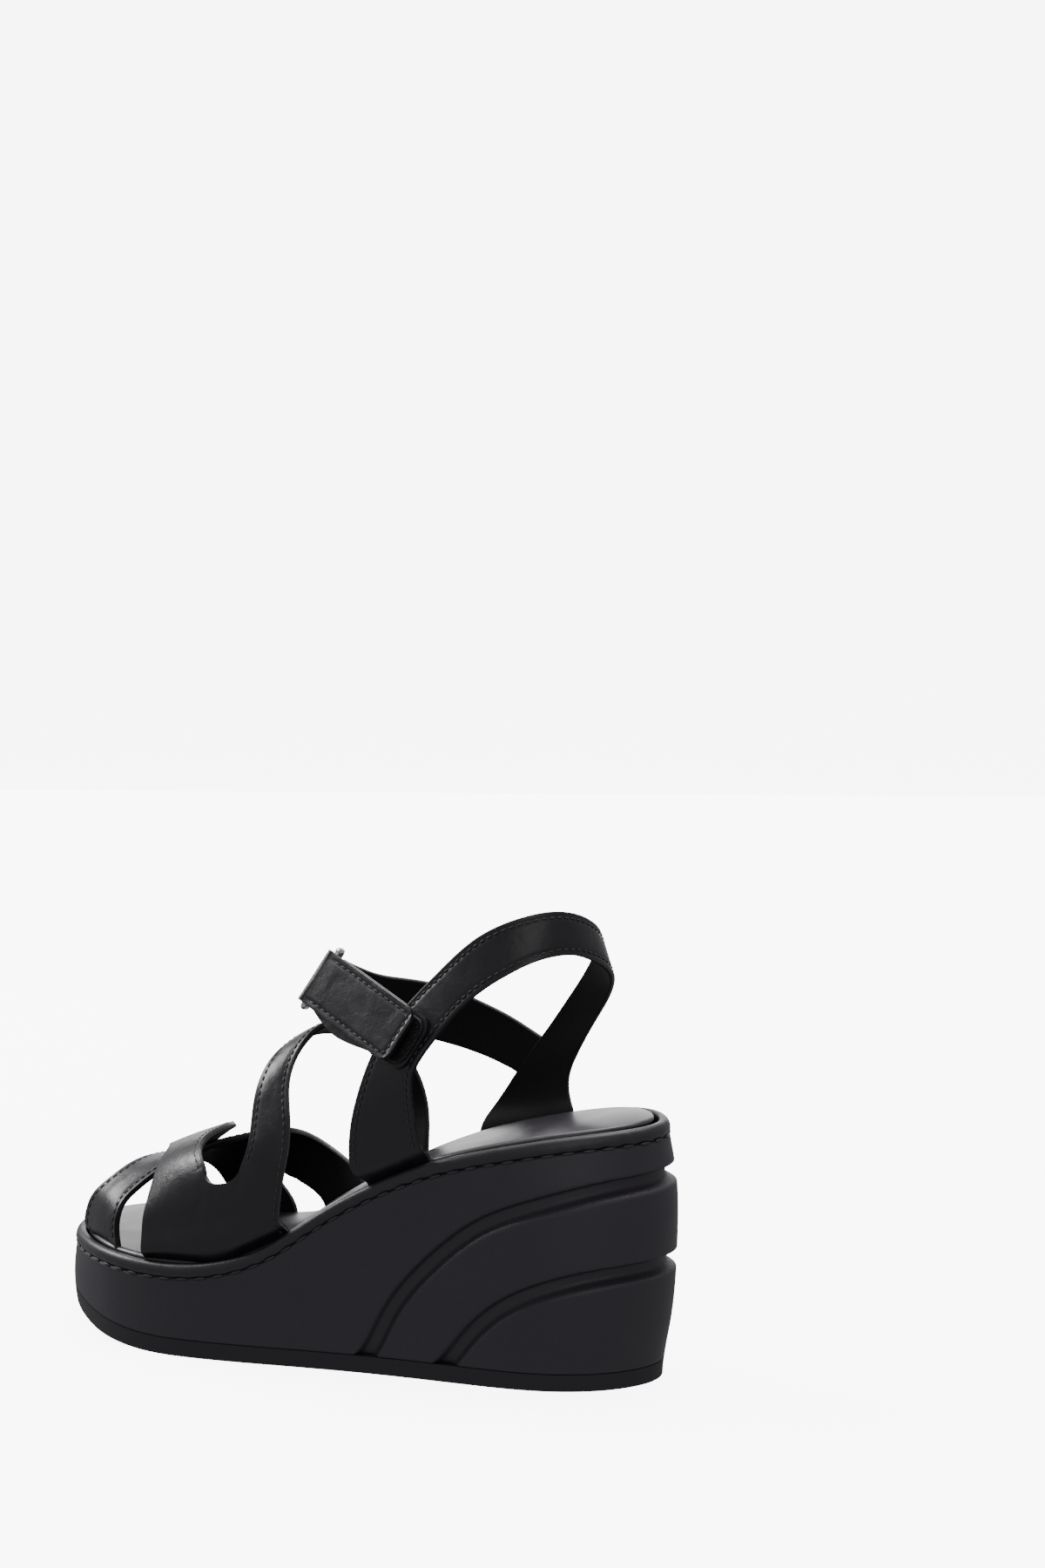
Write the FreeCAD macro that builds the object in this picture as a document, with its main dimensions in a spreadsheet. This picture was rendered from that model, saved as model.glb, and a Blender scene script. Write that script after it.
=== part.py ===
import FreeCAD, Part
import math
import os
import Sketcher

# Wedge sandal, left foot.  +X heel, -X toe, -Y outer side, +Y inner side, +Z up.
# The origin lies on the ground under the sole, half way along it.

Vec = FreeCAD.Vector
doc = FreeCAD.newDocument("WedgeSandal")

# ---------------------------------------------------------------- sizes

SIZES = [
    ("sole_length", 248.0, "toe to heel along the ground"),
    ("ball_width", 91.5, "widest part of the sole"),
    ("platform_height", 36.0, "ground to rim under the ball of the foot"),
    ("heel_height", 97.5, "ground to rim at the heel"),
    ("toe_spring", 9.7, "rise of the outsole at the toe tip"),
    ("spring_start", -60.0, "where the outsole leaves the ground"),
    ("outsole_thickness", 6.5, "rubber outsole"),
    ("heel_swell", 5.4, "how far the back of the wedge swells"),
    ("toe_swell", 2.3, "how far the toe of the wedge swells"),
    ("tread_depth", 2.0, "depth of the tread grooves"),
    ("tread_width", 3.0, "width of a tread groove"),
    ("tread_pitch", 11.0, "spacing of the tread grooves"),
    ("tread_border", 9.0, "plain border round the tread"),
    ("channel_width", 8.2, "relief channels in the wedge"),
    ("channel_depth", 3.2, "depth of the relief channels"),
    ("rand_height", 5.2, "leather band round the rim"),
    ("rand_thickness", 3.4, "leather band round the rim"),
    ("strap_slot", 3.2, "slot between rand and footbed for the straps"),
    ("board_thickness", 2.2, "insole board"),
    ("foam_thickness", 2.6, "footbed foam"),
    ("cover_thickness", 1.3, "footbed leather"),
    ("shank_width", 16.0, "steel shank"),
    ("shank_thickness", 1.5, "steel shank"),
    ("shank_front", -28.0, "toe end of the shank"),
    ("shank_length", 112.0, "steel shank"),
    ("rivet_radius", 2.0, "rivets through board and shank"),
    ("stitch_radius", 0.45, "thread of the rim stitching"),
    ("stitch_length", 5.2, "one stitch of the rim stitching"),
    ("stitch_pitch", 7.6, "one stitch to the next"),
    ("leather", 1.4, "outer leather of the straps"),
    ("lining", 0.8, "lining of the straps"),
    ("glue_line", 0.05, "between leather and lining, each side"),
    ("strap_width", 22.0, "closing strap"),
    ("base_belly", 3.5, "how far the lower run shows below the flap"),
    ("strap_leather", 1.8, "closing strap, leather and lining together"),
    ("flap_length", 49.5, "closing flap, ring to tip"),
    ("base_length", 54.4, "lower run of the closing strap, ring to end"),
    ("tip_radius", 5.0, "rounded corners of the closing strap"),
    ("wire_radius", 1.2, "ring wire"),
    ("wire_gap", 0.25, "play between ring wire and leather"),
    ("bar_spacing", 9.0, "between the two long bars of the ring"),
    ("bar_length", 25.0, "centre line length of a long bar"),
    ("ring_corner", 2.0, "bend of the ring wire"),
    ("ring_tilt", 60.0, "ring plane below the closing strap, degrees"),
    ("patch_start", 12.0, "ring to the loop patch"),
    ("patch_edge", 1.5, "leather that frames the patches"),
    ("loop_thickness", 1.3, "loop patch"),
    ("hook_thickness", 1.2, "hook patch"),
    ("tab_leather", 1.2, "tab that holds the ring"),
    ("tab_length", 12.0, "legs of the tab"),
    ("tab_width", 18.0, "tab and ring end of the instep strap"),
]

sheet = doc.addObject("Spreadsheet::Sheet", "Sizes")
for row, (alias, value, note) in enumerate(SIZES, start=1):
    sheet.set(f"A{row}", alias)
    sheet.set(f"B{row}", str(value))
    sheet.set(f"C{row}", note)
    sheet.setAlias(f"B{row}", alias)
doc.recompute()


def size(alias):
    """Value of one named cell, in millimetres."""
    return float(getattr(sheet, alias))


# Shape points are given for this length and width and stretch with the sheet's sizes.
DRAWN_LENGTH = 248.0
DRAWN_WIDTH = 91.5
stretch_x = size("sole_length") / DRAWN_LENGTH
stretch_y = size("ball_width") / DRAWN_WIDTH
FAR = 200.0


# ---------------------------------------------------------------- curves and slabs

def curve_through(points, closed=False):
    """Smooth curve through the points."""
    curve = Part.BSplineCurve()
    curve.interpolate(Points=points, PeriodicFlag=closed)
    return curve


# Side view of the rim: place along the sole, share of the rise from ball to heel.
RIM_PROFILE = [(-135, 0.01), (-90, 0.0), (-62, -0.013), (-40, 0.028), (-20, 0.146), (0, 0.366),
               (20, 0.564), (45, 0.748), (75, 0.889), (105, 0.98), (140, 1.0)]
rise = size("heel_height") - size("platform_height")
rim_curve = curve_through([Vec(x * stretch_x, 0, size("platform_height") + share * rise)
                           for x, share in RIM_PROFILE])


def rim_height(x):
    """Height of the rim at x, by bisection along the rim curve."""
    low = rim_curve.FirstParameter
    high = rim_curve.LastParameter
    for _ in range(40):
        middle = (low + high) / 2
        if rim_curve.value(middle).x < x:
            low = middle
        else:
            high = middle
    return rim_curve.value(low).z


def at(x, y, lift):
    """Point that stretches with the sole and stands lift above the rim."""
    place = x * stretch_x
    return Vec(place, y * stretch_y, rim_height(place) + lift)


def slab_between(lower, upper):
    """Solid across the whole width between two side-view wires that run toe to heel."""
    ends = []
    for index in (0, -1):
        start = lower.OrderedVertexes[index].Point
        end = upper.OrderedVertexes[index].Point
        ends.append(Part.LineSegment(start, end).toShape())
    outline = Part.Wire(Part.__sortEdges__(lower.Edges + upper.Edges + ends))
    face = Part.Face(outline)
    face.translate(Vec(0, -FAR / 2, 0))
    return face.extrude(Vec(0, FAR, 0))


def rim_line(lift):
    """Rim curve moved up by lift, as a wire."""
    shape = rim_curve.toShape()
    shape.translate(Vec(0, 0, lift))
    return Part.Wire([shape])


def level_line(height):
    """Straight side-view line at one height, the length of the rim curve."""
    return Part.Wire([Part.LineSegment(Vec(rim_curve.StartPoint.x, 0, height),
                                       Vec(rim_curve.EndPoint.x, 0, height)).toShape()])


def ground_line(lift):
    """Underside of the sole moved up by lift: flat, then an arc up to the toe."""
    start = size("spring_start") * stretch_x
    reach = start + size("sole_length") / 2
    radius = (reach ** 2 + size("toe_spring") ** 2) / (2 * size("toe_spring"))
    toe = rim_curve.StartPoint.x
    whole = math.asin((start - toe) / radius)

    def on_arc(angle):
        return Vec(start - radius * math.sin(angle), 0, lift + radius * (1 - math.cos(angle)))

    arc = Part.Arc(on_arc(whole), on_arc(whole / 2), on_arc(0)).toShape()
    flat = Part.LineSegment(on_arc(0), Vec(rim_curve.EndPoint.x, 0, lift)).toShape()
    return Part.Wire([arc, flat])


# Sole outline seen from above.
OUTLINE = [(-123.5, 3), (-118.5, -14), (-109.5, -26), (-95, -38), (-70, -46.2), (-42, -46.3),
           (-10, -42), (25, -37.8), (60, -36), (90, -32.5), (112, -21.5), (124, 0), (112.5, 22),
           (88, 28.8), (55, 29), (20, 29.8), (-15, 35), (-45, 42), (-72, 45.2), (-97, 41),
           (-114, 29), (-121.5, 16)]
outline_curve = curve_through([Vec(x * stretch_x, y * stretch_y, 0) for x, y in OUTLINE], True)
OUTLINE_STEPS = 44

# How the wedge swells: share of the heel height, shares of the heel swell and of the toe swell.
SWELL = [(-0.02, 0.0, 0.0), (0.08, 0.15, 0.6), (0.20, 0.52, 1.0), (0.33, 0.81, 0.4), (0.44, 0.93, 0.0),
         (0.56, 1.0, 0.0), (0.80, 0.85, 0.0), (0.93, 0.45, 0.0), (1.06, 0.1, 0.0)]
HEEL_SWELL_RUN = (30.0, 115.0)
TOE_SWELL_RUN = (-95.0, -123.0)


def eased(x, run):
    """Weight that grows smoothly from 0 at the first place of a run to 1 at the second."""
    share = min(max((x / stretch_x - run[0]) / (run[1] - run[0]), 0.0), 1.0)
    return share * share * (3 - 2 * share)


def swell_out(x, heel_share, toe_share):
    """How far the skin stands out of the outline at x."""
    return (size("heel_swell") * heel_share * eased(x, HEEL_SWELL_RUN)
            + size("toe_swell") * toe_share * eased(x, TOE_SWELL_RUN))


def outline_wire(inset, height, heel_share=0.0, toe_share=0.0):
    """Outline moved inwards by inset at one height; the shares swell its two ends outwards."""
    first = outline_curve.FirstParameter
    span = outline_curve.LastParameter - first
    points = []
    for step in range(OUTLINE_STEPS):
        where = first + span * step / OUTLINE_STEPS
        point = outline_curve.value(where)
        along = outline_curve.tangent(where)[0]
        outwards = Vec(along.y, -along.x, 0)
        swell = swell_out(point.x, heel_share, toe_share)
        points.append(point + outwards * (swell - inset) + Vec(0, 0, height))
    return Part.Wire([curve_through(points, True).toShape()])


def turns_left():
    """True when the outline runs anticlockwise seen from above."""
    area = 0.0
    scaled = [Vec(x, y, 0) for x, y in OUTLINE]
    for a, b in zip(scaled, scaled[1:] + scaled[:1]):
        area += a.x * b.y - b.x * a.y
    return area > 0


assert turns_left(), "the outline has to run anticlockwise, so that its normals point outwards"


def sole_block(inset):
    """The wedge's outer skin as a block, moved inwards by inset."""
    wires = [outline_wire(inset, level * size("heel_height"), heel_share, toe_share)
             for level, heel_share, toe_share in SWELL]
    return Part.makeLoft(wires, True, False)


def straight_block(inset):
    """Upright block on the outline, moved inwards by inset."""
    base = outline_wire(inset, -1.0)
    return Part.Face(base).extrude(Vec(0, 0, size("heel_height") + 12.0))


# ---------------------------------------------------------------- document helpers

nodes = []


def keep(name, shape, placement=None):
    """Sub-part whose shape comes from Part's own functions."""
    feature = doc.addObject("Part::Feature", name)
    feature.Label = name
    feature.Shape = shape
    feature.Placement = placement or FreeCAD.Placement()
    nodes.append(feature)
    return feature


def bind(item, **cells):
    """Bind properties of an object to expressions in the sheet."""
    for prop, expression in cells.items():
        item.setExpression(prop, expression)


# ---------------------------------------------------------------- sole

block = sole_block(0.0)
rand_height = size("rand_height")
slot_inset = size("rand_thickness") + size("strap_slot")
ground = ground_line(0.0)
outsole_top = ground_line(size("outsole_thickness"))
under_rand = rim_line(-rand_height)

outsole = block.common(slab_between(ground, outsole_top))
tread_field = straight_block(size("tread_border"))
tread_slab = slab_between(ground_line(-2.0), ground_line(size("tread_depth")))
groove_count = int((size("sole_length") / 2 - 20.0) // size("tread_pitch"))
grooves = []
for step in range(-groove_count, groove_count + 1):
    place = (step + 0.5) * size("tread_pitch")
    grooves.append(Part.makeBox(size("tread_width"), FAR, FAR,
                                Vec(place - size("tread_width") / 2, -FAR / 2, -FAR / 2)))
tread = tread_field.common(tread_slab).common(Part.makeCompound(grooves))
keep("outsole", outsole.cut(tread))

# Upper edges of the two relief channels: place along the sole, share of the heel height.
CHANNELS = [
    [(8, 0.0), (17, 0.085), (26, 0.25), (45, 0.49), (67, 0.665), (91, 0.765), (117, 0.83), (145, 0.84)],
    [(40, 0.0), (49, 0.085), (60, 0.22), (73, 0.34), (91, 0.435), (109, 0.485), (125, 0.50), (145, 0.50)],
]


def channel_strip(shape_points):
    """Strip across the whole width, channel_width wide, below the channel's upper edge."""
    upper = curve_through([Vec(x * stretch_x, 0, share * size("heel_height"))
                           for x, share in shape_points])
    lower_points = []
    for step in range(13):
        where = upper.FirstParameter + (upper.LastParameter - upper.FirstParameter) * step / 12
        along = upper.tangent(where)[0]
        across = Vec(along.z, 0, -along.x)
        lower_points.append(upper.value(where) + across * size("channel_width"))
    lower = curve_through(lower_points)
    return slab_between(Part.Wire([lower.toShape()]), Part.Wire([upper.toShape()]))


core = sole_block(size("channel_depth"))
wedge = block.common(slab_between(outsole_top, under_rand))
for shape_points in CHANNELS:
    wedge = wedge.cut(channel_strip(shape_points).cut(core))

# The shank lies in a bed under the insole board.
shank_blank = doc.addObject("Part::Box", "shank_blank")
bind(shank_blank, Length="Sizes.shank_length", Width="Sizes.shank_width", Height="Sizes.heel_height + 20")
shank_blank.setExpression("Placement.Base.x", "Sizes.shank_front")
shank_blank.setExpression("Placement.Base.y", "-Sizes.shank_width / 2 - 2")
doc.recompute()
shank_bottom = -rand_height - size("shank_thickness")
shank_layer = slab_between(rim_line(shank_bottom), under_rand)
shank_shape = shank_blank.Shape.common(shank_layer)
wedge = wedge.cut(shank_shape)
keep("wedge_midsole", wedge)

rand_ring = block.cut(straight_block(size("rand_thickness")))
keep("leather_rand", rand_ring.common(slab_between(under_rand, rim_line(0.0))))

board_top = -rand_height + size("board_thickness")
foam_top = board_top + size("foam_thickness")
cover_top = foam_top + size("cover_thickness")
inside = straight_block(slot_inset)
board = inside.common(slab_between(under_rand, rim_line(board_top)))

# Two rivets hold the shank to the board.
RIVET_PLACES = (0.18, 0.86)
rivets = []
for index, share in enumerate(RIVET_PLACES, start=1):
    rivet = doc.addObject("Part::Cylinder", f"rivet_blank_{index}")
    bind(rivet, Radius="Sizes.rivet_radius", Height="Sizes.heel_height + 20")
    rivet.setExpression("Placement.Base.x", f"Sizes.shank_front + {share} * Sizes.shank_length")
    rivet.setExpression("Placement.Base.y", "-2")
    rivets.append(rivet)
doc.recompute()
rivet_posts = Part.makeCompound([rivet.Shape for rivet in rivets])
keep("insole_board", board.cut(rivet_posts))
keep("steel_shank", shank_shape.cut(rivet_posts))
keep("shank_rivets", rivet_posts.common(slab_between(rim_line(shank_bottom), rim_line(board_top))))
keep("footbed_foam", inside.common(slab_between(rim_line(board_top), rim_line(foam_top))))
keep("footbed_cover", inside.common(slab_between(rim_line(foam_top), rim_line(cover_top))))


def swell_at(point):
    """How far the wedge swells out at one place of its skin."""
    level = point.z / size("heel_height")
    for (low, heel_low, toe_low), (high, heel_high, toe_high) in zip(SWELL, SWELL[1:]):
        if low <= level <= high:
            share = (level - low) / (high - low)
            heel_share = heel_low + (heel_high - heel_low) * share
            toe_share = toe_low + (toe_high - toe_low) * share
    return swell_out(point.x, heel_share, toe_share)


def stitch_places(gap, drop, pitch):
    """Points and directions spaced by pitch round the rim, drop below it and gap off the skin."""
    first = outline_curve.FirstParameter
    last = outline_curve.LastParameter
    count = int(outline_curve.length() // pitch)
    places = []
    for step in range(count):
        where = outline_curve.parameterAtDistance(outline_curve.length() * step / count, first)
        where = min(where, last)
        point = outline_curve.value(where)
        along = outline_curve.tangent(where)[0]
        outwards = Vec(along.y, -along.x, 0)
        point.z = rim_height(point.x) - drop
        slope = rim_height(point.x + along.x) - rim_height(point.x)
        spot = point + outwards * (swell_at(point) + gap)
        places.append((spot, Vec(along.x, along.y, slope).normalize()))
    return places


STITCH_GAP = 0.3
stitches = []
for spot, along in stitch_places(size("stitch_radius") + STITCH_GAP, rand_height, size("stitch_pitch")):
    start = spot - along * (size("stitch_length") / 2)
    stitches.append(Part.makeCylinder(size("stitch_radius"), size("stitch_length"), start, along))
keep("rim_stitching", Part.makeCompound(stitches))


# ---------------------------------------------------------------- closing strap frame

# Ring bar that the closing strap folds round, and the point that its tip reaches.
fold_centre = at(-4, -24.8, 91.3)
tip_target = at(41, -42.4, 48.5)
BAR_LEAN = Vec(0.464, 0.304, 0.834)
along_strap = (tip_target - fold_centre).normalize()
across_strap = (BAR_LEAN - along_strap * BAR_LEAN.dot(along_strap)).normalize()
off_foot = along_strap.cross(across_strap)
strap_turn = FreeCAD.Rotation(along_strap, across_strap, off_foot, "ZXY")
strap_place = FreeCAD.Placement(fold_centre, strap_turn)
fold_inside = size("wire_radius") + size("wire_gap")
strap_seat = -(fold_inside + size("strap_leather") + 0.5)


def under_strap(point):
    """Point moved along the strap's normal until it just clears the closing strap."""
    height = (point - fold_centre).dot(off_foot)
    return point + off_foot * (strap_seat - height)


tilt = math.radians(size("ring_tilt"))
ring_way = along_strap * -math.cos(tilt) + off_foot * -math.sin(tilt)
tab_centre = fold_centre + ring_way * size("bar_spacing")
tab_normal = ring_way.cross(across_strap) * -1
tab_turn = FreeCAD.Rotation(ring_way, across_strap, ring_way.cross(across_strap), "ZXY")
tab_place = FreeCAD.Placement(tab_centre, tab_turn)


# ---------------------------------------------------------------- straps

STRAP_STEPS = 30


def sampled(points, count=STRAP_STEPS, pinned=None):
    """Points on the smooth curve through the given ones, evenly spread along its parameter.

    pinned = (index, step) spreads them unevenly, so that sample step lands on the indexed point.
    """
    curve = curve_through(points)
    first = curve.FirstParameter
    span = curve.LastParameter - first
    pull = 0.0
    if pinned:
        goal = (curve.parameter(points[pinned[0]]) - first) / span
        share = pinned[1] / (count - 1)
        pull = (goal - share) / (share * (1 - share))
    shares = [step / (count - 1) for step in range(count)]
    return [curve.value(first + span * (share + pull * share * (1 - share))) for share in shares]


def column_normals(columns, inner_point):
    """Outward unit normal at each sampled point of each column."""
    last = len(columns) - 1
    rows = len(columns[0])
    normals = []
    for index, column in enumerate(columns):
        beside_a = columns[max(index - 1, 0)]
        beside_b = columns[min(index + 1, last)]
        line = []
        for step in range(rows):
            along = column[min(step + 1, rows - 1)] - column[max(step - 1, 0)]
            across = beside_b[step] - beside_a[step]
            normal = along.cross(across).normalize()
            outwards = column[step] - inner_point(column[step])
            if normal.dot(outwards) < 0:
                normal = normal * -1
            line.append(normal)
        normals.append(line)
    return normals


below_board = slab_between(level_line(-30.0), rim_line(board_top))
footbed_space = inside.common(slab_between(rim_line(board_top), rim_line(cover_top)))
SEAT_OVERRUN = 1.0
SLOT_PLAY = 0.3


def slot_point(x, y, lift):
    """Point of a strap's outer face against the inside of the rim, nearest to its own end point."""
    near = Vec(x * stretch_x, y * stretch_y, 0)
    where = outline_curve.parameter(near)
    edge_point = outline_curve.value(where)
    along = outline_curve.tangent(where)[0]
    inwards = Vec(-along.y, along.x, 0)
    point = edge_point + inwards * (size("rand_thickness") + SLOT_PLAY)
    point.z = rim_height(point.x) + lift
    return point


def foot_middle(point):
    """Middle of the foot level with a strap point."""
    return Vec(point.x, 0, rim_height(min(max(point.x, -120.0), 120.0)) + 22.0)


def heel_middle(point):
    """Middle of the heel, for the strap that goes round behind it."""
    return Vec(min(point.x, 62.0 * stretch_x), 0, point.z)


def ruled_face(curve_a, curve_b, start, end):
    """Part of the ruled face between two curves that share their knots."""
    surface = Part.BSplineSurface()
    surface.buildFromPolesMultsKnots([curve_a.getPoles(), curve_b.getPoles()],
                                     (2, 2), curve_a.getMultiplicities(),
                                     (0.0, 1.0), curve_a.getKnots(),
                                     False, False, 1, curve_a.Degree)
    return surface.toShape(0.0, 1.0, start, end)


def corner_face(a, b, c, d):
    """Face between the lines a-b and c-d."""
    surface = Part.BSplineSurface()
    surface.buildFromPolesMultsKnots([[a, b], [c, d]], (2, 2), (2, 2), (0.0, 1.0), (0.0, 1.0),
                                     False, False, 1, 1)
    return surface.toShape()


def sheet_solid(columns, normals, low, high, slot=None):
    """Solid of thickness high - low on a sheet given by columns of points.

    Neighbouring columns are joined by ruled faces.  slot = (first column, last column, step)
    leaves the sheet open between two columns from that sampled step onwards.
    """
    rows = len(columns[0])
    steps = [index / (rows - 1) for index in range(rows)]

    def offset_column(index, gap):
        return [p + n * gap for p, n in zip(columns[index], normals[index])]

    def offset_curve(points):
        curve = Part.BSplineCurve()
        curve.interpolate(Points=points, Parameters=steps)
        return curve

    outer_points = [offset_column(index, high) for index in range(len(columns))]
    inner_points = [offset_column(index, low) for index in range(len(columns))]
    outer = [offset_curve(points) for points in outer_points]
    inner = [offset_curve(points) for points in inner_points]
    cuts = [0, rows - 1] if slot is None else [0, slot[2], rows - 1]

    def present(strip, part):
        if not 0 <= strip < len(columns) - 1 or not 0 <= part < len(cuts) - 1:
            return False
        return not (slot and part == 1 and slot[0] <= strip < slot[1])

    faces = []
    for part in range(len(cuts) - 1):
        start = steps[cuts[part]]
        end = steps[cuts[part + 1]]
        for strip in range(len(columns) - 1):
            if not present(strip, part):
                continue
            faces.append(ruled_face(outer[strip], outer[strip + 1], start, end))
            faces.append(ruled_face(inner[strip], inner[strip + 1], start, end))
            if not present(strip - 1, part):
                faces.append(ruled_face(outer[strip], inner[strip], start, end))
            if not present(strip + 1, part):
                faces.append(ruled_face(outer[strip + 1], inner[strip + 1], start, end))
            for step, neighbour in ((cuts[part], part - 1), (cuts[part + 1], part + 1)):
                if not present(strip, neighbour):
                    faces.append(corner_face(outer_points[strip][step], outer_points[strip + 1][step],
                                             inner_points[strip][step], inner_points[strip + 1][step]))
    shell = Part.Shell(faces)
    shell.sewShape()
    solid = Part.Solid(Part.Shell(shell.Faces))
    if solid.Volume < 0:
        solid.reverse()
    return solid


def leather_and_lining(name, columns, inner_point, slot=None, seated=True):
    """Keep the outer leather and the lining of one strap, trimmed to the board and footbed.

    The sheet is the outer face of the leather.
    """
    normals = column_normals(columns, inner_point)
    lining_face = -size("leather") - 2 * size("glue_line")
    for label, low, high in ((name, -size("leather"), 0.0),
                             (name + "_lining", lining_face - size("lining"), lining_face)):
        shape = sheet_solid(columns, normals, low, high, slot)
        if seated:
            shape = shape.cut(below_board).cut(footbed_space)
        keep(label, shape)


# Height that marks a strap end down in the slot inside the rim.
BURIED = 1.0

# Outer-side vamp: a broad branch over the toes and a narrow one over the instep.
VAMP_TOE_EDGE = [(-72, -41.5, -BURIED), (-72, -45, 3), (-72, -45, 9), (-72, -43.5, 17), (-72, -39, 25),
                 (-73, -32, 32), (-75, -24, 35), (-79, -12, 36), (-84, -1, 35), (-90, 9, 32),
                 (-96, 17.5, 26), (-102, 24, 17), (-105.5, 27.5, 8), (-106, 27, -BURIED)]
VAMP_CROTCH_TOE = [(-47, -41.5, -BURIED), (-47, -44.5, 4), (-46.5, -45, 14), (-46, -44.5, 24),
                   (-45.5, -42.8, 34.5), (-48.5, -39.5, 39.5), (-53, -33, 43), (-56.5, -21, 45.7),
                   (-57.5, -8, 46.3), (-59, 4, 45.7), (-65, 16, 42.5), (-78, 26.5, 34),
                   (-91, 32.3, 18), (-96, 33.5, -BURIED)]
VAMP_CROTCH_HEEL = [(-33, -40.5, -BURIED), (-32.5, -44, 5), (-31.5, -45, 16), (-30.5, -44.8, 25),
                    (-29.5, -44, 33.5), (-27, -42.5, 41), (-27, -39.5, 48), (-28.5, -32, 62),
                    (-28.5, -20, 72), (-26, -6, 76.5), (-21.5, 8, 76), (-15, 20, 69), (-7, 28, 54),
                    (0, 31.5, 28), (2, 27.5, -BURIED)]
VAMP_HEEL_EDGE = [(-12, -37.5, -BURIED), (-13, -41.5, 5), (-13, -43, 14), (-11.5, -43, 23),
                  (-10, -41.5, 33), (-11, -38.5, 43), (-15, -31.5, 57), (-16.5, -21, 70),
                  (-14.5, -8, 76.5), (-10.5, 6, 75), (-4.5, 18, 67), (5, 27, 50), (14.5, 31.5, 20),
                  (16.5, 25.5, -BURIED)]
# The two branches part at the same station of every column.
VAMP_CROTCH_STATION = 4
VAMP_SLOT_STEP = 10

# Toe strap: from the outer side of the toe, under the vamp, to two legs on the inner side.
TOE_FRONT_EDGE = [(-106, -22, -BURIED), (-110.5, -22, 3), (-111, -21, 9.5), (-107.5, -20.5, 17),
                  (-102, -17, 23), (-97.5, -9.5, 27.5), (-94, 2, 29), (-90.5, 13, 28),
                  (-87, 25, 25), (-83.5, 33.5, 20), (-80, 38.5, 12), (-77, 38, -BURIED)]
TOE_REAR_EDGE = [(-86, -34.5, -BURIED), (-88.5, -37, 5), (-89, -35.5, 12), (-88.5, -32, 17.5),
                 (-86.5, -25.5, 22), (-83, -17.5, 26.5), (-76.5, -5, 32), (-67, 9, 36.5),
                 (-55, 20, 39), (-44, 29.5, 37.5), (-29, 36, 25), (-12, 31, -BURIED)]
TOE_SLOT_FRONT = [(-65.5, 36, 24), (-55, 41, 12), (-48, 36, -BURIED)]
TOE_SLOT_REAR = [(-58, 36, 25), (-46, 40, 14), (-32, 33.5, -BURIED)]
TOE_SLOT_STEP = 24

# Heel strap with both quarters: upper and lower edge, outer side to inner side.
HEEL_UPPER = [(20, -34, -BURIED), (17, -39.5, 7), (15.5, -41.5, 17), (16.5, -41.5, 28),
              (19.5, -40, 40), (25, -35.5, 52), (35, -30.5, 62.5), (48, -30.5, 71.5),
              (64, -30.5, 80.5), (78.5, -28, 84), (90, -21, 84), (96.5, -9, 80), (98, 3, 74), (95, 14, 67),
              (88, 22, 58), (76, 27, 45), (64, 29.5, 32), (52, 30, 19), (43, 28.5, 7),
              (40, 24.5, -BURIED)]
HEEL_LOWER = [(45, -32, -BURIED), (43.5, -37.5, 7), (42, -39.5, 16), (41.5, -41, 26),
              (43.5, -41.5, 36.5), (49, -38.5, 46), (57, -37, 54), (66, -35.5, 60), (76, -33, 64),
              (87.5, -27.5, 67), (96, -18, 66.5), (101, -7, 62.5), (103, 4, 57), (100.5, 14, 51),
              (95, 21.5, 43.5), (86.5, 26, 33), (79.5, 28.5, 23), (75.5, 29.5, 13), (77, 28, 5),
              (79, 23.5, -BURIED)]
HEEL_UNDER_UPPER = (6, 7)
HEEL_UNDER_LOWER = (5, 6)

# Instep strap: upper and lower edge, from the ring tab to the outside of the inner quarter.
INSTEP_UPPER = [(1, 7, 86), (9, 16, 77.5), (22, 24.5, 67), (38, 30, 53), (50, 32, 43), (62, 32.3, 33),
                (71, 31.6, 26.5)]
INSTEP_LOWER = [(-8, 5, 73), (1, 17, 62), (13, 25.5, 51), (30, 31, 37.5), (42, 32.3, 28.5),
                (50, 32.4, 22.5), (60, 32.2, 15)]


def edge(points):
    """Edge points of a strap; those near the sole stand in the slot inside the rim."""
    placed = []
    for x, y, lift in points:
        if lift < 0:
            placed.append(slot_point(x, y, board_top - SEAT_OVERRUN))
            placed.append(slot_point(x, y, 0.5))
        else:
            placed.append(at(x, y, lift))
    if points[-1][2] < 0:
        placed[-2:] = placed[:-3:-1]
    return placed


def between(left, right, share):
    """Point list part of the way from one edge to the other."""
    return [a + (b - a) * share for a, b in zip(left, right)]


# A buried end stands as two points, so the crotch is one point further on in the placed edge.
vamp_pin = (VAMP_CROTCH_STATION + 1, VAMP_SLOT_STEP)
vamp_edges = [sampled(edge(points), pinned=vamp_pin) for points in
              (VAMP_TOE_EDGE, VAMP_CROTCH_TOE, VAMP_CROTCH_HEEL, VAMP_HEEL_EDGE)]
leather_and_lining("lateral_vamp", vamp_edges, foot_middle, (1, 2, VAMP_SLOT_STEP))

front = edge(TOE_FRONT_EDGE)
rear = edge(TOE_REAR_EDGE)
SLOT_SHARES = (0.42, 0.62)
front_leg = edge(TOE_SLOT_FRONT)
rear_leg = edge(TOE_SLOT_REAR)
slot_front = between(front, rear, SLOT_SHARES[0])[:-len(front_leg)] + front_leg
slot_rear = between(front, rear, SLOT_SHARES[1])[:-len(rear_leg)] + rear_leg
toe_edges = [sampled(points) for points in (front, slot_front, slot_rear, rear)]
leather_and_lining("toe_strap", toe_edges, foot_middle, (1, 2, TOE_SLOT_STEP))

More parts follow.
